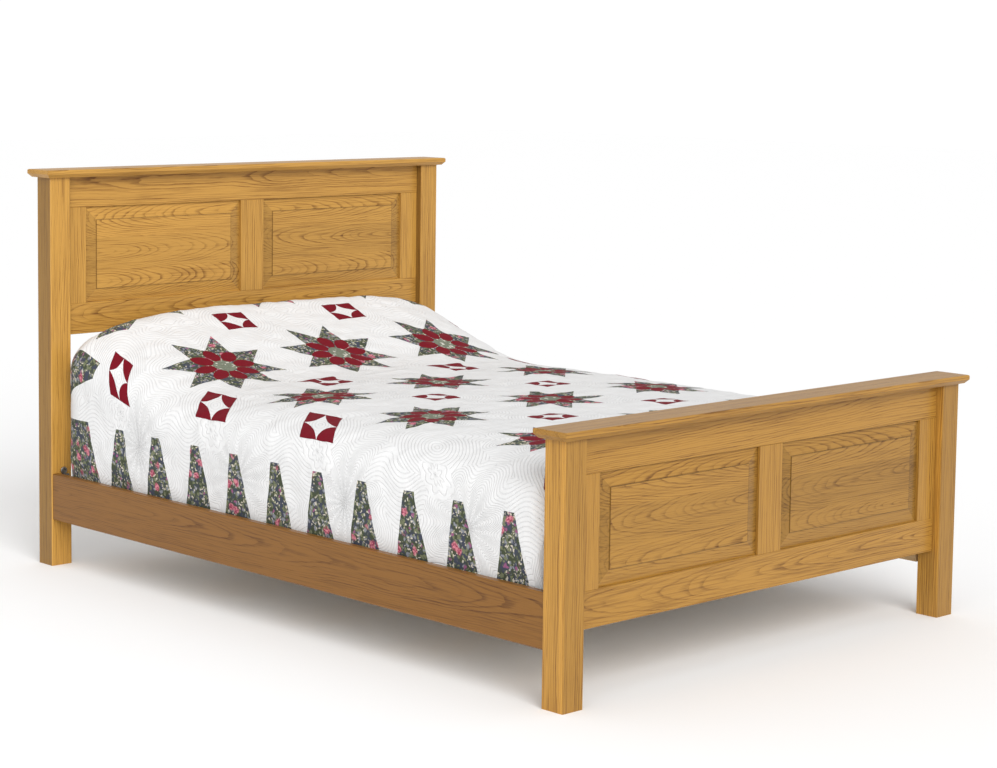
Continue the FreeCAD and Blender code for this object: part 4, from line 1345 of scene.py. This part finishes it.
class BED_OT_quilt(bpy.types.Operator):
    """Cut, drape and quilt the pieced cover"""

    bl_idname = "panel_bed.quilt"
    bl_label = "Quilt"

    def execute(self, context):
        design = context.scene.bed_quilt
        cut = QuiltCut(design.cell)
        points, flats, faces = cut.build()
        points[:, 0], points[:, 1] = round_corners(points[:, 0], points[:, 1], QUILT_CORNER)
        mesh = bpy.data.meshes.new("pieced_quilt")
        mesh.from_pydata([tuple(p) for p in points], [], faces)
        mesh.uv_layers.new(name="flat").data.foreach_set("uv", flats[corner_vertices(mesh)].ravel())
        quilt = add_to_scene("pieced_quilt", mesh)
        flat_area = sum(self.flat_area(flats, face) for face in faces)
        # the cut corners at the foot are sewn up
        merge(mesh, SEWN_WITHIN)
        self.drape(quilt)
        lining = add_to_scene("quilt_lining", quilt.data.copy())
        set_up(quilt.modifiers.new("round", "SUBSURF"), levels=2, render_levels=2)
        apply_all(quilt)
        self.emboss(quilt, design.puff)
        self.close(quilt, lining)
        smooth(quilt)
        quilt.data.materials.append(quilt_material(design))
        size = (2 * (cut.edge_u + QUILT_EDGE - QUILT_HEM), float(flats[:, 1].max() - flats[:, 1].min()))
        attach(quilt, "bedding")
        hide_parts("quilt")
        min(flat_area, size[0] * size[1])
        print("quilt flat", [round(s, 3) for s in size], "area", round(flat_area, 3),
              "triangles", sum(len(f.vertices) - 2 for f in quilt.data.polygons))
        return {"FINISHED"}

    def flat_area(self, flats, face):
        """Area of one face on the flat cloth."""
        a, b, c, d = (flats[k] for k in face)
        return abs(np.cross(c - a, d - b)) / 2

    def drape(self, quilt):
        """Lets the cloth settle on mattress and pillows, its hem held."""
        start = read_points(quilt.data)
        low = [k for k, (_, y, z) in enumerate(start) if z < QUILT_HEM + HELD_UP_TO
               or (y > QUILT_HEAD - HELD_AT_HEAD[0] and z < QUILT_HEAD_HEM + HELD_AT_HEAD[1])]
        quilt.vertex_groups.new(name="held").add(low, 1.0, "REPLACE")
        beneath = [bpy.data.objects[f"soft_{name}"] for name in ("mattress", "pillow_left", "pillow_right")]
        for piece in beneath:
            piece.modifiers.new("stop", "COLLISION")
            piece.collision.thickness_outer = STAND_OFF
        cloth = quilt.modifiers.new("drape", "CLOTH")
        set_up(cloth.settings, quality=6, mass=0.5, air_damping=2.0, tension_stiffness=20.0,
               compression_stiffness=20.0, shear_stiffness=8.0, bending_stiffness=2.0, shrink_min=-0.012,
               vertex_group_mass="held")
        cloth.collision_settings.distance_min = STAND_OFF
        run_cloth(quilt, DRAPE_FRAMES, DRAPE_MOST, beneath)
        quilt.vertex_groups.clear()
        moves = evened(quilt.data, read_points(quilt.data) - start, DRAPE_ROUNDS)
        moves[low] = 0.0
        settled = start + moves
        inward = settled[:, 2] < OWN_SIDE_TO
        settled[inward, 0] = np.clip(settled[inward, 0], -QUILT_HALF, QUILT_HALF)
        settled[:, 1] = np.clip(settled[:, 1], QUILT_FOOT - END_SLACK, QUILT_HEAD + END_SLACK)
        write_points(quilt.data, settled)

    def emboss(self, quilt, puff):
        """Puckers and slack in the outer face."""
        mesh = quilt.data
        corners = corner_vertices(mesh)
        flat = np.empty(len(corners) * 2)
        mesh.uv_layers["flat"].data.foreach_get("uv", flat)
        flats = np.zeros((len(mesh.vertices), 2))
        flats[corners] = flat.reshape(-1, 2)
        swell(quilt, quilt_relief(flats, read_points(mesh), puff))

    def make_hem_finer(self, mesh):
        """Puts three more points on each edge of the lining's hem, to meet the outer face, and turns it inwards."""
        inner = bmesh.new()
        inner.from_mesh(mesh)
        for edge in [e for e in inner.edges if e.is_boundary]:
            start, end = edge.verts
            for share in (1 / 4, 1 / 3, 1 / 2):
                start = bmesh.utils.edge_split(edge, start, share)[1]
                edge = next(e for e in start.link_edges if e.other_vert(start) == end)
        bmesh.ops.reverse_faces(inner, faces=inner.faces)
        inner.to_mesh(mesh)
        inner.free()

    def close(self, quilt, lining):
        """Sets the lining inside the outer face and joins the two round the hem."""
        swell(lining, np.full(len(lining.data.vertices), -QUILT_THICK))
        self.make_hem_finer(lining.data)
        both = bmesh.new()
        both.from_mesh(quilt.data)
        outer_hem = hem_in_order(both)
        count = len(both.verts)
        both.from_mesh(lining.data)
        inner_hem = hem_in_order(both, count)
        start = min(range(len(inner_hem)), key=lambda k: (inner_hem[k].co - outer_hem[0].co).length)
        inner_hem = inner_hem[start:] + inner_hem[:start]
        if (inner_hem[4].co - outer_hem[4].co).length > (inner_hem[-4].co - outer_hem[4].co).length:
            inner_hem = inner_hem[:1] + inner_hem[:0:-1]
        if len(inner_hem) != len(outer_hem):
            raise RuntimeError(f"hem: {len(outer_hem)} points outside and {len(inner_hem)} inside")
        for k, point in enumerate(outer_hem):
            both.faces.new((outer_hem[k - 1], point, inner_hem[k], inner_hem[k - 1]))
        bmesh.ops.recalc_face_normals(both, faces=both.faces)
        both.to_mesh(quilt.data)
        both.free()
        bpy.data.objects.remove(lining)


# ---- studio ----
CAMERA_PLACE = (-4.902, -5.0444, 1.600)
CAMERA_TURN = (-42.586, 5.615, 0.560)  # compass angle, tilt down and roll, in degrees
CAMERA_LENS = 86.09
CAMERA_SHIFT = (0.0838, -0.0993)
FLOOR_SPAN = 60
KEY_LIGHT = ((-1.3, -2.8, 2.5), (0.0, 0.0, 0.5), math.radians(40))  # where from, where to and how wide
FILL_LIGHT = ((-4.5, -2.6, 1.8), (-0.5, -0.4, 0.4), 2.5)
BACKDROP = 1.05  # how bright it is where the camera sees it


def camera_axes():
    """Right, up and back of the camera, from its angles."""
    azimuth, tilt, roll = (math.radians(a) for a in CAMERA_TURN)
    back = Vector((math.sin(azimuth) * math.cos(tilt), -math.cos(azimuth) * math.cos(tilt), math.sin(tilt)))
    right = (-back).cross(Vector((0, 0, 1))).normalized()
    up = right.cross(-back)
    cos, sin = math.cos(roll), math.sin(roll)
    return right * cos + up * sin, up * cos - right * sin, back


def soft_light(name, kind, place, target, size, power):
    """A large soft lamp that faces target. size is its width, or its spread as an angle if it is a sun."""
    lamp = bpy.data.lights.new(name, kind)
    if kind == "SUN":
        set_up(lamp, energy=power, angle=size)
    else:
        set_up(lamp, energy=power, shape="SQUARE", size=size)
    holder = add_to_scene(name, lamp)
    holder.location = place
    holder.rotation_euler = (Vector(target) - Vector(place)).to_track_quat("-Z", "Y").to_euler()


class BED_OT_studio(bpy.types.Operator):
    """Set the pale floor, the soft lights and the camera"""

    bl_idname = "panel_bed.studio"
    bl_label = "Studio"

    def execute(self, context):
        scene, studio = context.scene, context.scene.bed_studio
        deselect()
        bpy.ops.mesh.primitive_plane_add(size=FLOOR_SPAN, location=(0, 0, 0))
        floor = context.active_object
        floor.name = "floor"
        material, surface = new_material("floor paper")
        fine = surface.noise(surface.place(), 220.0, 2.0)
        paper = surface.mix(fine, tuple(studio.floor), toned(studio.floor, 0.985))
        finish_material(surface, {"Base Color": paper, "Roughness": 0.9, "Specular IOR Level": 0.1})
        floor.data.materials.append(material)
        scene.world = bpy.data.worlds.new("white studio")
        scene.world.use_nodes = True
        tree = scene.world.node_tree
        glow = tree.nodes["Background"].inputs
        glow["Color"].default_value = (1.0, 1.0, 1.0, 1.0)
        # the backdrop behind the bed is brighter than the light that the room gives
        seen = Surface(tree).node("LightPath", output="Is Camera Ray")
        tree.links.new(seen.ease(0.0, 1.0, studio.ambient, BACKDROP).socket, glow["Strength"])
        soft_light("key light", "SUN", *KEY_LIGHT, studio.key)
        soft_light("fill light", "AREA", *FILL_LIGHT, studio.fill)
        scene.view_settings.view_transform = "Standard"
        view = bpy.data.cameras.new("photo view")
        set_up(view, lens=CAMERA_LENS, sensor_width=36.0, shift_x=CAMERA_SHIFT[0], shift_y=CAMERA_SHIFT[1],
               clip_end=100.0)
        scene.camera = add_to_scene("photo view", view)
        turn = Matrix(camera_axes()).transposed().to_4x4()
        scene.camera.matrix_world = Matrix.Translation(CAMERA_PLACE) @ turn
        return {"FINISHED"}


class BED_PT_panel(bpy.types.Panel):
    """The bed's pieces and settings in the 3D view's sidebar"""

    bl_idname = "BED_PT_panel"
    bl_label = "Panel bed"
    bl_space_type = "VIEW_3D"
    bl_region_type = "UI"
    bl_category = "Panel bed"

    def draw(self, context):
        layout = self.layout
        for operator in OPERATORS:
            layout.operator(operator.bl_idname)
        for group in SETTINGS:
            box = layout.box()
            settings = getattr(context.scene, group)
            for name in settings.__annotations__:
                box.prop(settings, name)


OPERATORS = (BED_OT_oak, BED_OT_plain_wood, BED_OT_steel, BED_OT_studs, BED_OT_box_spring, BED_OT_mattress,
             BED_OT_pillows, BED_OT_quilt, BED_OT_studio)
SETTINGS = {"bed_oak": OakFinish, "bed_quilt": QuiltDesign, "bed_bedding": Bedding, "bed_studio": Studio}


def register():
    for group in (*SETTINGS.values(), *OPERATORS, BED_PT_panel):
        bpy.utils.register_class(group)
    for name, group in SETTINGS.items():
        setattr(bpy.types.Scene, name, bpy.props.PointerProperty(type=group))


def unregister():
    for name in SETTINGS:
        delattr(bpy.types.Scene, name)
    for group in reversed((*SETTINGS.values(), *OPERATORS, BED_PT_panel)):
        bpy.utils.unregister_class(group)


def main():
    register()
    bpy.ops.panel_bed.oak()
    bpy.ops.panel_bed.plain_wood()
    bpy.ops.panel_bed.steel()
    bpy.ops.panel_bed.studs()
    bpy.ops.panel_bed.box_spring()
    bpy.ops.panel_bed.mattress()
    bpy.ops.panel_bed.pillows()
    bpy.ops.panel_bed.quilt()
    bpy.ops.panel_bed.studio()


if __name__ == "__main__":
    main()
